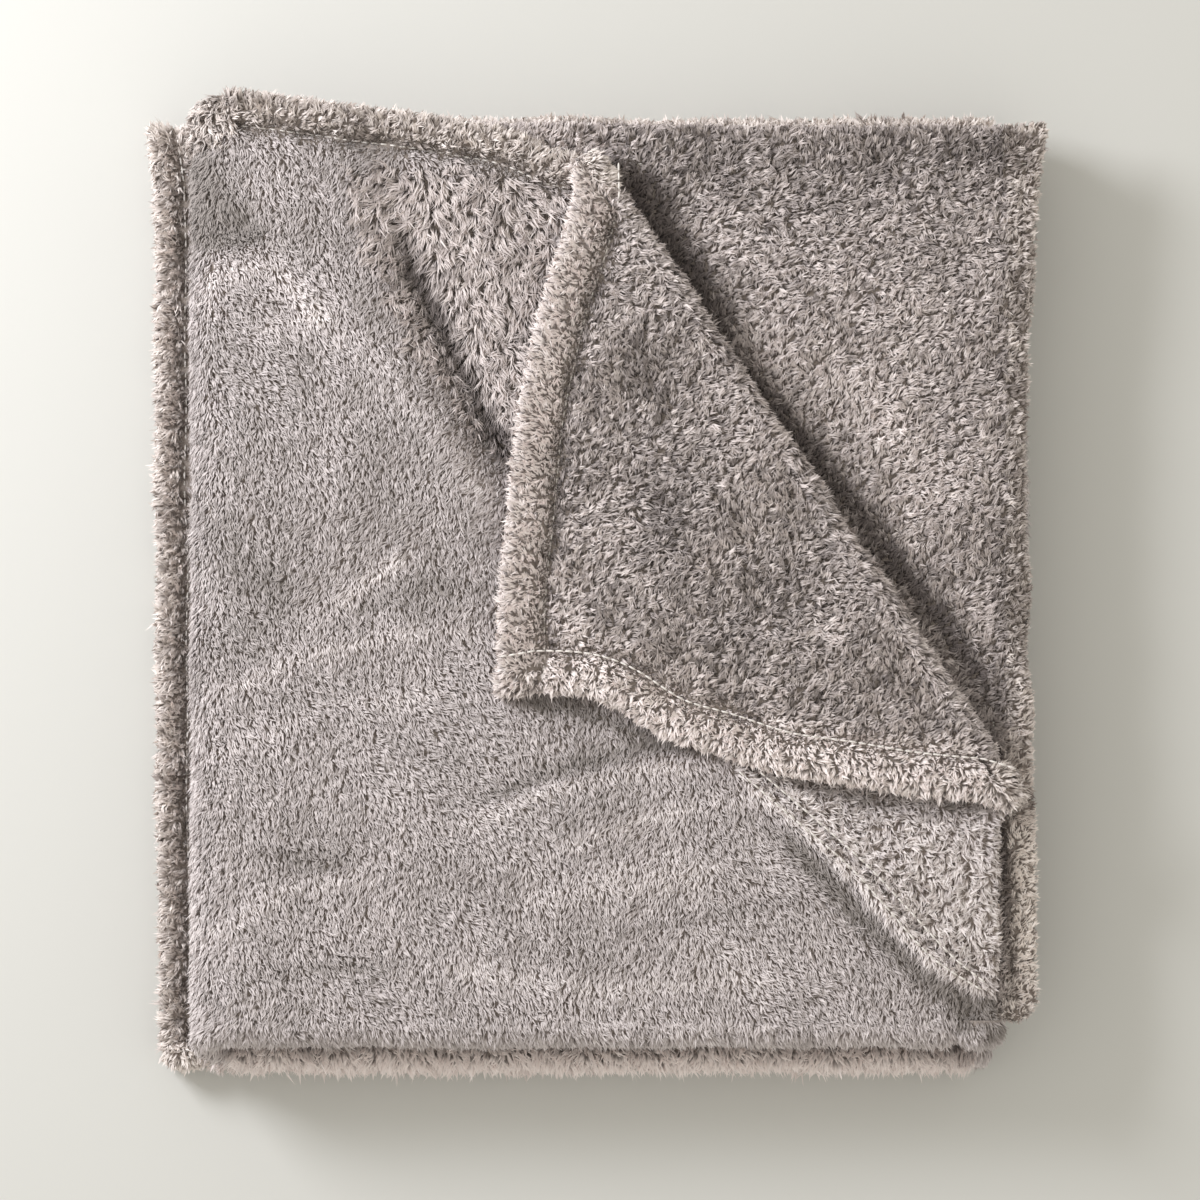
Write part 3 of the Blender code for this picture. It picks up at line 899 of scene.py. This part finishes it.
# How the pile changes near an edge: metres, shares of its length, how much painted shade darkens the stitched
# groove, and how strongly it is turned outward.
edgePile = {"reach": 0.04, "crossing": 0.012, "strokedOut": 0.020, "grooveReach": 0.0055, "grooveShort": 0.55,
            "grooveDull": 0.7, "plainReach": 0.008, "plainShort": 0.40, "fieldOut": 0.8, "hemKeep": 0.35,
            "hemOut": 0.25, "hemMore": 1.1, "hemStart": 1.15, "crossingOut": 0.9}


def dress(verts, tris, kind, rng, seed, bordered, plainLines, flowOf, toneOf, kindOf=None, coarse=1.0):
    # Grows the pile of one skin: the field in its own kind, the borders in theirs, stroked outward over the edge.
    centres = verts[tris].mean(axis=1)[:, :2]
    onBorder = fromHems(centres, bordered)[0] < throw["hemWidth"]
    grown = {}
    for usual, faces in ((kind, tris[~onBorder]), ("border", tris[onBorder])):
        if not len(faces):
            continue
        places, normals = scatter(verts, faces, spacingOf(usual, 1 if usual == "inner" else coarse), rng)
        away, which = fromHems(places[:, :2], bordered)
        outward = np.zeros((len(places), 3))
        ends = np.zeros((len(places), 3))
        for number, (line, _) in enumerate(bordered):
            closer = (which == number) & (away < edgePile["reach"])
            if closer.any():
                outward[closer] = outwardFrom(line, places[closer])
            other = (which != number) & (distanceTo(places[:, :2], line)[0] < edgePile["crossing"])
            if other.any():
                ends[other] += outwardFrom(line, places[other])
        inHem = away < throw["hemWidth"]
        # Pile is short in the stitched groove, with painted shade there, a little short at a plain edge, and long
        # everywhere else.
        groove = np.exp(-((away - throw["hemWidth"]) / edgePile["grooveReach"]) ** 2)
        short = 1 - edgePile["grooveShort"] * groove
        tones = toneOf(places) - edgePile["grooveDull"] * (1 - short)
        for line in plainLines:
            near, _ = distanceTo(places[:, :2], line)
            closer = near < np.minimum(away, edgePile["reach"])
            if closer.any():
                outward[closer] = outwardFrom(line, places[closer])
            away = np.minimum(away, near)
            short = short * (1 - edgePile["plainShort"] * np.clip(1 - near / edgePile["plainReach"], 0, 1))
        flow = flowOf(places, seed)
        flow = flow + outward * (edgePile["fieldOut"] * np.clip(1 - away / edgePile["strokedOut"], 0, 1))[:, None]
        share = np.clip(edgePile["hemStart"] - away / throw["hemWidth"], 0, 1)[:, None]
        onHem = flow * edgePile["hemKeep"] + outward * (edgePile["hemOut"] + edgePile["hemMore"] * share)
        flow = np.where(inHem[:, None], onHem, flow) + edgePile["crossingOut"] * ends
        names = np.full(len(places), usual, dtype="U8")
        if kindOf is not None:
            names = kindOf(places, names)
        for name in np.unique(names):
            part = names == name
            pile = coarser(pileKinds[name], 1 if name == "inner" else coarse)
            strands, tone = growPile(places[part], normals[part], flow[part], pile, rng, short[part])
            tone = tone + tones[part]
            label = str(name)
            if label in grown:
                strands = np.concatenate([grown[label][0], strands])
                tone = np.concatenate([grown[label][1], tone])
            grown[label] = (strands, tone)
    return grown


def plainTone(places):
    return 0.05 * waves(places[:, 0], places[:, 1], 0.06, 61)


def drawnIn(points):
    # The lower folds were pulled in at the near right corner when the throw was laid down.
    share = np.clip((points[..., 0] / halfWidth - 0.74) / 0.26, 0, 1.2) ** 1.5
    near = np.clip((-points[..., 1] / halfDepth - 0.80) / 0.12, 0, 1)
    points[..., 0] -= 0.029 * share * near**2 * (3 - 2 * near)


def finishCloth(name, verts, faces, grown, attach, nodes):
    # The cloth and its pile as pieces of the throw: each is attached as told, and the frame's parts it stands for
    # are hidden.
    if name.startswith(("layer3", "layer4", "layer5", "layer6", "middle", "lower", "right")):
        drawnIn(verts)
        for _, parts in grown:
            for strands, _ in parts.values():
                drawnIn(strands)
    cloth = meshObject(name + "Cloth", verts, faces, backing)
    piles = []
    for skin, parts in grown:
        for kind, (strands, tone) in parts.items():
            look = pileKinds[kind]["look"]
            piles += pileObjects(f"{name}{skin}{kind.capitalize()}", strands, tone, look, kind == "inner")
    for obj in [cloth, *piles]:
        attach(obj)
    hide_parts(*nodes)
    print(name, "made with", sum(len(s) for _, parts in grown for s, _ in parts.values()), "strands")


# Topstitching: 4 stitches to 25 mm, in metres.
stitch = {"pitch": 0.0062, "length": 0.0054, "thickness": 0.0013, "rise": 0.0002, "sink": 0.0012,
          "proudRise": 0.0066, "ridgeRise": 0.0092, "before": 0.003, "after": 0.009}


def stitchRow(name, body, line, inset, skin, rise, node=None):
    # Threads laid end to end along the groove of a border, each dipping into the cloth at its ends.
    row = line + inset * inwardOf(line)
    run = np.concatenate([[0], np.cumsum(np.linalg.norm(np.diff(row, axis=0), axis=1))])
    starts = np.arange(stitch["before"], run[-1] - stitch["after"], stitch["pitch"])
    share = np.linspace(0, 1, 6)
    places = starts[:, None] + share * stitch["length"]
    x, y = np.interp(places, run, row[:, 0]), np.interp(places, run, row[:, 1])
    away = (x.ravel()[:, None] - skin[None, :, 0]) ** 2 + (y.ravel()[:, None] - skin[None, :, 1]) ** 2
    nearest = np.argsort(away, axis=1)[:, :3]
    z = skin[nearest, 2].mean(axis=1).reshape(x.shape) + rise - stitch["sink"] * (2 * share - 1) ** 4
    direction = np.stack([np.gradient(x, axis=1), np.gradient(y, axis=1)], axis=2)
    direction /= np.linalg.norm(direction, axis=2, keepdims=True)
    side = np.stack([-direction[..., 1], direction[..., 0], 0 * x], axis=2)
    radius = stitch["thickness"] / 2 * np.array([0.35, 0.9, 1, 1, 0.9, 0.35])
    angles = np.arange(6) * math.pi / 3
    ring = side[:, :, None, :] * np.cos(angles)[:, None] + np.array([0, 0, 1]) * np.sin(angles)[:, None]
    verts = np.stack([x, y, z], axis=2)[:, :, None, :] + ring * radius[:, None, None]
    quads = [(i * 6 + j, i * 6 + (j + 1) % 6, (i + 1) * 6 + (j + 1) % 6, (i + 1) * 6 + j)
             for i in range(5) for j in range(6)]
    quads += [(0, 5, 4, 3), (0, 3, 2, 1), (30, 31, 32, 33), (30, 33, 34, 35)]
    faces = (np.array(quads)[None] + 36 * np.arange(len(starts))[:, None, None]).reshape(-1, 4)
    row = meshObject(name, verts.reshape(-1, 3), faces, thread)
    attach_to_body(row, body)
    if node:
        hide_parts(node)


rimWidth = 0.008      # pile that wraps round a hem
coarsePile = {"layer": 1.35, "fold": 1.2}      # how much sparser it is where it mostly lies hidden


def makeLayer(name, body, sides, hems, bottom, relief, skins, seed, step=0.009, flowOf=combed,
              toneOf=plainTone, plain=(), kindOf=None):
    # A layer of the throw, with pile on whichever of its two skins can ever be seen, and round its hemmed edges.
    rng = np.random.default_rng(seed)
    verts, faces = layerShape(name, sides, hems, plain, bottom + layer / 2, relief, step)
    facing = unit(facingOf(verts, faces))
    centres = verts[faces].mean(axis=1)[:, :2]
    edge = np.min([distanceTo(centres, sides[side])[0] for side in hems], axis=0)
    rim = edge < rimWidth
    bordered = borderedSides(name, sides, hems, plain)
    plainLines = [sides[side] for side in plain]
    grown = []
    for skin, up, kind, shown in skins:
        chosen = (facing[:, 2] * up > -0.02) if kind else rim & (facing[:, 2] * up > -0.02)
        if shown is not None:
            chosen &= shown(centres) | rim
        if chosen.any():
            coarse = coarsePile["layer"] if name in ("layer3", "layer4", "layer6") or skin == "Under" else 1.0
            grown.append((skin, dress(verts, faces[chosen], kind or "border", rng, seed, bordered, plainLines,
                                      flowOf, toneOf, kindOf, coarse)))
    upper = verts[:len(verts) // 2]
    for side in hems:
        rise = stitch["proudRise" if side == "lower" else "rise"]
        inset = throw["hemWidth"] / borderScale(name, side)
        stitchRow(f"{name}Stitches{side.capitalize()}", body, sides[side], inset, upper, rise,
                  f"{name}_topstitch_{side}")
    if name == "layer1":
        for number, line in enumerate(seamRidge):
            stitchRow(f"layer1Ridge{number + 1}", body, smoothLine(shares(*line), throw["step"]), 0.0, upper,
                      stitch["ridgeRise"])
    cloths = [node for node in nodesOf(name + "_") if "topstitch" not in node]
    finishCloth(name, verts, faces, grown, lambda obj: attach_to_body(obj, body), cloths)


def nodesOf(*starts):
    return [name for name in sorted(frame["nodes"]) if name.startswith(starts)]


def outsideTop(centres):
    # What the top layer leaves uncovered of the layer below, and a finger's width more.
    outline = np.vstack([line[:-1] for line in topLayer.values()])
    near, _ = distanceTo(centres, np.vstack([outline, outline[:1]]))
    return ~insidePolygon(centres, outline) | (near < 0.02)


def topTone(places):
    # The pile is lighter towards the near right corner, with the painted light and shade of the top layer's
    # strokes.
    slope = 0.05 * (places[:, 0] / halfWidth - places[:, 1] / halfDepth)
    return plainTone(places) + slope + strokeSum(places[:, 0], places[:, 1], topStrokes)


def flapTone(places):
    # The turned corner's sherpa side, with its painted highlights.
    return plainTone(places) + strokeSum(places[:, 0], places[:, 1], flapStrokes)


def secondTone(places):
    # A slightly lighter tone, with the painted shadow and light of the second layer's strokes.
    return plainTone(places) + 0.05 + strokeSum(places[:, 0], places[:, 1], secondStrokes)


def topFlow(places, seed):
    # Beside the sunk valley the pile was pushed the other way.
    flow = combed(places, seed)
    valley = np.array(shares((-0.50, 0.86), (-0.42, 0.62), (-0.30, 0.32), (-0.20, 0.10)))
    away, _ = distanceTo(places[:, :2], valley)
    share = np.exp(-((away / 0.026) ** 2))[:, None]
    return flow * (1 - share) + share * np.array([-0.62, -0.78, 0])


shaggyPatch = np.array(shares((-0.557, 0.842), (-0.214, 0.832), (-0.081, 0.791), (-0.125, 0.569), (-0.169, 0.205),
                              (-0.280, 0.326), (-0.402, 0.478), (-0.502, 0.650)))


def nubbyCorner(places, names):
    # Beside the turned corner the plush stands in long locks, and right of the wrinkle it was ruffled.
    x, y = places[:, 0], places[:, 1]
    ragged = places[:, :2] + 0.004 * np.stack([waves(x, y, 0.02, 71), waves(x, y, 0.02, 72)], axis=1)
    names = np.where(insidePolygon(ragged, shaggyPatch) & (names == "plush"), "shaggy", names)
    line = shares((0.292, -0.377), (0.424, -0.466), (0.633, -0.648), (0.743, -0.760), (0.894, -0.842))
    below = np.interp(places[:, 0], [x for x, _ in line], [y for _, y in line])
    ruffled = (places[:, 0] > line[0][0]) & (places[:, 1] > below) & (places[:, 1] < -0.30 * halfDepth)
    return np.where(ruffled & (names == "plush"), "tufted", names)


def turnedBorder(places, names):
    # The turned corner's borders show the sherpa side.
    return np.where(names == "border", "turned", names)


def wispyStrip(places, names):
    # The edge that looks out at the right is the border, ruffled.
    return np.where((places[:, 0] > 0.905 * halfWidth) & (names == "sherpa"), "border", names)


def sherpaFlow(places, seed):
    return combed(places, seed, base=0.85, spread=0.5)


def acrossCrease(vectors, placed):
    # Where a point of the turned corner, or a direction on it, comes to lie when the corner is opened.
    along = unit((creaseLow - creaseTop)[None])[0]
    start = creaseTop if placed else 0 * creaseTop
    offset = vectors[:, :2] - start
    mirrored = start + 2 * (offset @ along)[:, None] * along - offset
    return np.column_stack([mirrored, vectors[:, 2]])


def flapFlow(places, seed):
    under = (places[:, 2] < 3 * throw["pitch"] + layer / 2)[:, None]
    plush = acrossCrease(topFlow(acrossCrease(places, True), 101), False)
    return np.where(under, plush, sherpaFlow(places, seed))


def flapSkinTone(places):
    under = places[:, 2] < 3 * throw["pitch"] + layer / 2
    return np.where(under, topTone(acrossCrease(places, True)), flapTone(places))


def acrossFold(vectors, axisX, placed):
    # Where a point, or a direction, comes to lie when its third is opened about a side fold.
    return np.column_stack([(2 * axisX if placed else 0) - vectors[:, 0], vectors[:, 1:]])


def secondFlow(places, seed):
    # The underside is plush that runs on from the middle third when the upper one is opened.
    under = (places[:, 2] < upperBottom + layer / 2)[:, None]
    plush = acrossFold(combed(acrossFold(places, leftAxis, True), 104), leftAxis, False)
    return np.where(under, plush, sherpaFlow(places, seed))


def secondSkinTone(places):
    return np.where(places[:, 2] < upperBottom + layer / 2, plainTone(places), secondTone(places))


def middleFlow(places, seed):
    # The underside of the middle third runs on from the lower third in the same way.
    under = (places[:, 2] < middleBottom + layer)[:, None]
    plush = acrossFold(combed(acrossFold(places, rightAxis, True), 106), rightAxis, False)
    return np.where(under, plush, combed(places, 104))


makeLayer("layer1", "upper_third", topLayer, ["top", "right"], upperBottom + layer + gap, topRelief,
          [("Top", 1, "plush", None), ("Under", -1, None, None)], 101, step=0.006,
          plain=("right",), flowOf=topFlow, toneOf=topTone, kindOf=nubbyCorner)
makeLayer("layer2", "upper_third", secondLayer, ["top", "right"], upperBottom, secondRelief,
          [("Top", 1, "sherpa", outsideTop), ("Under", -1, "inner", None)], 102,
          flowOf=secondFlow, toneOf=secondSkinTone, plain=("top", "right"), kindOf=wispyStrip)
makeLayer("corner_flap", "corner_flap", cornerFlap, ["left", "lower"], 3 * throw["pitch"], flapRelief,
          [("Top", 1, "sherpa", None), ("Under", -1, "plush", None)], 103, step=0.006,
          flowOf=flapFlow, toneOf=flapSkinTone, kindOf=turnedBorder)
makeLayer("layer3", "middle_third", middleOutline(0.937, 41), ["top"], middleBottom + layer + gap, flat,
          [("Top", 1, "inner", None), ("Under", -1, None, None)], 104, flowOf=middleFlow)
makeLayer("layer4", "middle_third", middleOutline(0.950, 42), ["top"], middleBottom, flat,
          [("Top", 1, None, None), ("Under", -1, "inner", None)], 105, flowOf=middleFlow)
makeLayer("layer5", "lower_third", lowerOutline(0.931, -1.0, 43), ["left", "top"], layer + gap, flat,
          [("Top", 1, "inner", None), ("Under", -1, None, None)], 106)
makeLayer("layer6", "lower_third", lowerOutline(0.925, -0.990, 45), ["left", "top"], 0.0, flat,
          [("Top", 1, None, None), ("Under", -1, "inner", None)], 107)


clothRadius = layer / 2 + gap / 2      # from the middle of a pair to the middle of either of its layers
fold = {"lap": 0.004, "rowPitch": 0.006, "endBulge": 0.10, "creaseBulge": 0.12, "sideWave": 0.0010,
        "squeeze": 0.0020, "outerReach": 0.0175, "innerReach": 0.0070}


def foldTone(places):
    # Painted light and shade of the folds' strokes.
    return plainTone(places) + strokeSum(places[:, 0], places[:, 1], edgeStrokes)


def makeFold(name, centre, normal, away, attach, nodes, kind, seed, flowOf, toneOf=foldTone,
             edgeKind="border"):
    # A fold of the throw from its swept grid, with pile on its outward skin, the border's kind on its hemmed ends.
    rng = np.random.default_rng(seed)
    verts, faces, outerFaces, area = sweptShape(centre, normal, away)
    coarse = coarsePile["fold"] if name.startswith(("right", "lower", "middle")) else 1.0
    places, normals = scatter(verts, faces[:outerFaces], spacingOf(kind, coarse), rng)
    nearest = awayOf(places, centre, away)
    flow = flowOf(places, seed)
    grown = {}
    onEdge = nearest < throw["hemWidth"] - 0.001 if edgeKind != kind else np.zeros(len(places), bool)
    for part, pile in ((~onEdge, kind), (onEdge, edgeKind)):
        if part.any():
            grows = coarser(pileKinds[pile], coarse)
            strands, tone = growPile(places[part], normals[part], flow[part], grows, rng)
            grown[pile] = (strands, tone + toneOf(places[part]))
    finishCloth(name, verts, faces, [("Out", grown)], attach, nodes)


def awayOf(places, centre, away):
    # Distance from a hem at each place, from the nearest row of the fold's grid.
    flatCentre, flatAway = centre.reshape(-1, 3), away.ravel()
    found = np.zeros(len(places))
    for start in range(0, len(places), 4000):
        block = places[start:start + 4000]
        found[start:start + 4000] = flatAway[np.argmin(
            ((block[:, None, :] - flatCentre[None]) ** 2).sum(axis=2), axis=1)]
    return found


def roundEnd(places, seed):
    # Pile on an end fold runs on from the field and stands outward.
    sway = 0.3 * waves(places[:, 1] + places[:, 0], places[:, 2], 0.05, seed)
    return np.stack([0.25 + sway, -1 + 0 * sway, -0.55 + 0 * sway], axis=1)


def roundSide(places, seed):
    # Pile on a side fold runs along it as it does on the top layer, and falls a little.
    return topFlow(places, 101) + np.array([0, 0, -0.30])


def endFold(name, body, leftEnd, rightEnd, end, middle, nodes, seed, hemmed, kind="fringe"):
    # The doubled cloth turning at the end: a half tube along X, rounded off where a hem runs into it.
    count = max(8, round((rightEnd - leftEnd) / fold["rowPitch"]))
    turns = np.array([0, *np.linspace(0, math.pi, 11), math.pi])
    lap = np.array([fold["lap"], *np.zeros(11), fold["lap"]])
    centre = np.zeros((len(turns), count, 3))
    away = np.full((len(turns), count), 1.0)
    normal = np.zeros_like(centre)
    for i, turn in enumerate(turns):
        xs = np.linspace(leftEnd, rightEnd, count)
        for side, edge in (("left", leftEnd), ("right", rightEnd)):
            if side in hemmed:
                away[i] = np.minimum(away[i], np.abs(xs - edge))
        bulge = 1 + fold["endBulge"] * waves(xs, 0 * xs + seed, 0.08, seed)
        centre[i, :, 0] = xs
        centre[i, :, 1] = end + lap[i] - clothRadius * math.sin(turn) * bulge
        centre[i, :, 2] = middle + clothRadius * math.cos(turn)
        normal[i] = (0, -math.sin(turn), math.cos(turn))
    makeFold(name, centre, normal, away, lambda obj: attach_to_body(obj, body), nodes, kind, seed, roundEnd,
             foldTone if kind == "fringe" else topTone, "border" if kind == "fringe" else kind)


upperMiddle = upperBottom + layer + gap / 2
middleMiddle = middleBottom + layer + gap / 2
lowerMiddle = layer + gap / 2
endFold("upperEndFold", "upper_third", leftAxis, upperRight, upperEnd, upperMiddle, nodesOf("upper_end_fold"),
        111, ("right",), kind="plush")
endFold("middleEndFold", "middle_third", leftAxis, rightAxis, middleEnd, middleMiddle, nodesOf("middle_end_fold"),
        112, ())
endFold("lowerEndFold", "lower_third", -0.975 * halfWidth, rightAxis, lowerEnd, lowerMiddle,
        nodesOf("lower_end_fold"), 113, ("left",))


def sideTone(places):
    # The strokes on the top layer run on over its fold, and painted shade darkens the fold lower down.
    below = np.clip(leftAxisZ + 0.010 - places[:, 2], 0, 0.03)
    return topTone(places) + strokeSum(places[:, 0], places[:, 1], edgeStrokes) - 8 * below


def sideFold(name, low, high, axisX, axisZ, towards, outer, top, endTop, endBottom, nodes, rests, seed):
    # One cloth of the doubled pair turning at a side. Its path runs from the hem along Y to the end fold's middle.
    pair = layer + gap
    radius = pair + clothRadius if outer else pair - clothRadius
    straight = np.linspace(1, 0, 62)
    rows, normals, aways = [], [], []
    turns = np.linspace(0, math.pi, 15 if outer else 7)
    for turn, lap in zip([0, *turns, math.pi], [fold["lap"], *np.zeros(len(turns)), fold["lap"]]):
        ease = (1 - math.cos(turn)) / 2
        end = endTop + (endBottom - endTop) * ease
        hem = top[0] + (top[1] - top[0]) * ease
        ys = end + (hem - end) * straight ** 0.9
        wave = fold["sideWave"] * waves(ys, 0 * ys + turn * 0.02, 0.09, seed)
        radial = radius + (wave - fold["squeeze"] * math.sin(turn) if outer else 0 * wave)
        path = [(r, y, 1.0 if outer else -1.0, 0.0) for r, y in zip(radial, ys)]
        for quarter in np.linspace(0.18, 1, 5) * math.pi / 2:
            out = math.cos(quarter) if outer else -math.cos(quarter)
            path.append((pair + clothRadius * out, end - clothRadius * math.sin(quarter), out, -math.sin(quarter)))
        path = np.array(path)
        direction = np.array([towards * math.sin(turn), 0, math.cos(turn)])
        hinge = np.array([axisX - towards * lap, 0, axisZ])
        row = hinge + path[:, :1] * direction + path[:, 1:2] * np.array([0, 1, 0])
        if name == "leftFoldOuter":
            row[:, 2] += topRelief(row[:, 0], row[:, 1]) * max(0, math.cos(turn)) ** 2
        rows.append(row)
        normals.append(path[:, 2:3] * direction + path[:, 3:4] * np.array([0, 1, 0]))
        aways.append(np.clip(hem - path[:, 1], 0, 1))

    def attach(obj):
        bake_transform(obj)

    makeFold(name, np.array(rows), np.array(normals), np.array(aways), attach, nodes,
             "plush" if outer else "inner", seed, roundSide,
             sideTone if name == "leftFoldOuter" else foldTone)


hemTops = [1.0, 0.948, 0.937, 0.950, 0.931, 0.925]      # where each layer's hem lies, as shares of half the depth
top1, top2, top3, top4, top5, top6 = (share * halfDepth - throw["edgeInset"] for share in hemTops)
leftSide = ("middle_third", "upper_third", leftAxis, leftAxisZ, -1)
rightSide = ("lower_third", "middle_third", rightAxis, rightAxisZ, 1)
sideFold("leftFoldOuter", *leftSide, True, (top1, top4), upperEnd, middleEnd, nodesOf("left_fold_outer"),
         ["layer5Cloth"], 121)
sideFold("leftFoldInner", *leftSide, False, (top2, top3), upperEnd, middleEnd, nodesOf("left_fold_inner"),
         ["layer5Cloth"], 122)
sideFold("rightFoldOuter", *rightSide, True, (top3, top6), middleEnd, lowerEnd, nodesOf("right_fold_outer"),
         ["studioFloor"], 123)
sideFold("rightFoldInner", *rightSide, False, (top4, top5), middleEnd, lowerEnd, nodesOf("right_fold_inner"),
         ["studioFloor"], 124)


def makeCrease():
    # The turned corner's rolled edge, with the borders of two sides running round its ends.
    along = creaseLow - creaseTop
    length = float(np.hypot(*along))
    along = along / length
    out = np.array([-along[1], along[0]])
    count = round(length / fold["rowPitch"])
    runs = np.linspace(0, length, count)
    rows, normals, aways = [], [], []
    for turn in np.linspace(0, math.pi, 11):
        bulge = 1 + fold["creaseBulge"] * waves(runs, 0 * runs, 0.09, 127)
        spread = clothRadius * math.sin(turn) * bulge
        flatPart = creaseTop + runs[:, None] * along + spread[:, None] * out
        rows.append(np.column_stack([flatPart, np.full(count, creaseZ - clothRadius * math.cos(turn))]))
        normals.append(np.tile([math.sin(turn) * out[0], math.sin(turn) * out[1], -math.cos(turn)], (count, 1)))
        aways.append(np.minimum(runs, length - runs))

    def attach(obj):
        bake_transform(obj)

    def flow(places, seed):
        sway = 0.5 * waves(places[:, 0], places[:, 1], 0.04, seed)
        x, y = along * 0.9 + out * 0.5
        return np.stack([x + sway, y + sway, -0.6 + 0 * sway], axis=1)

    makeFold("cornerCrease", np.array(rows), np.array(normals), np.array(aways), attach, nodesOf("corner_crease"),
             "sherpa", 131, flow)


makeCrease()
print("folds made")

total = sum(len(obj.data.loops) - 2 * len(obj.data.polygons) for obj in bpy.data.objects if obj.type == "MESH")
print("the whole scene has", total, "triangles")
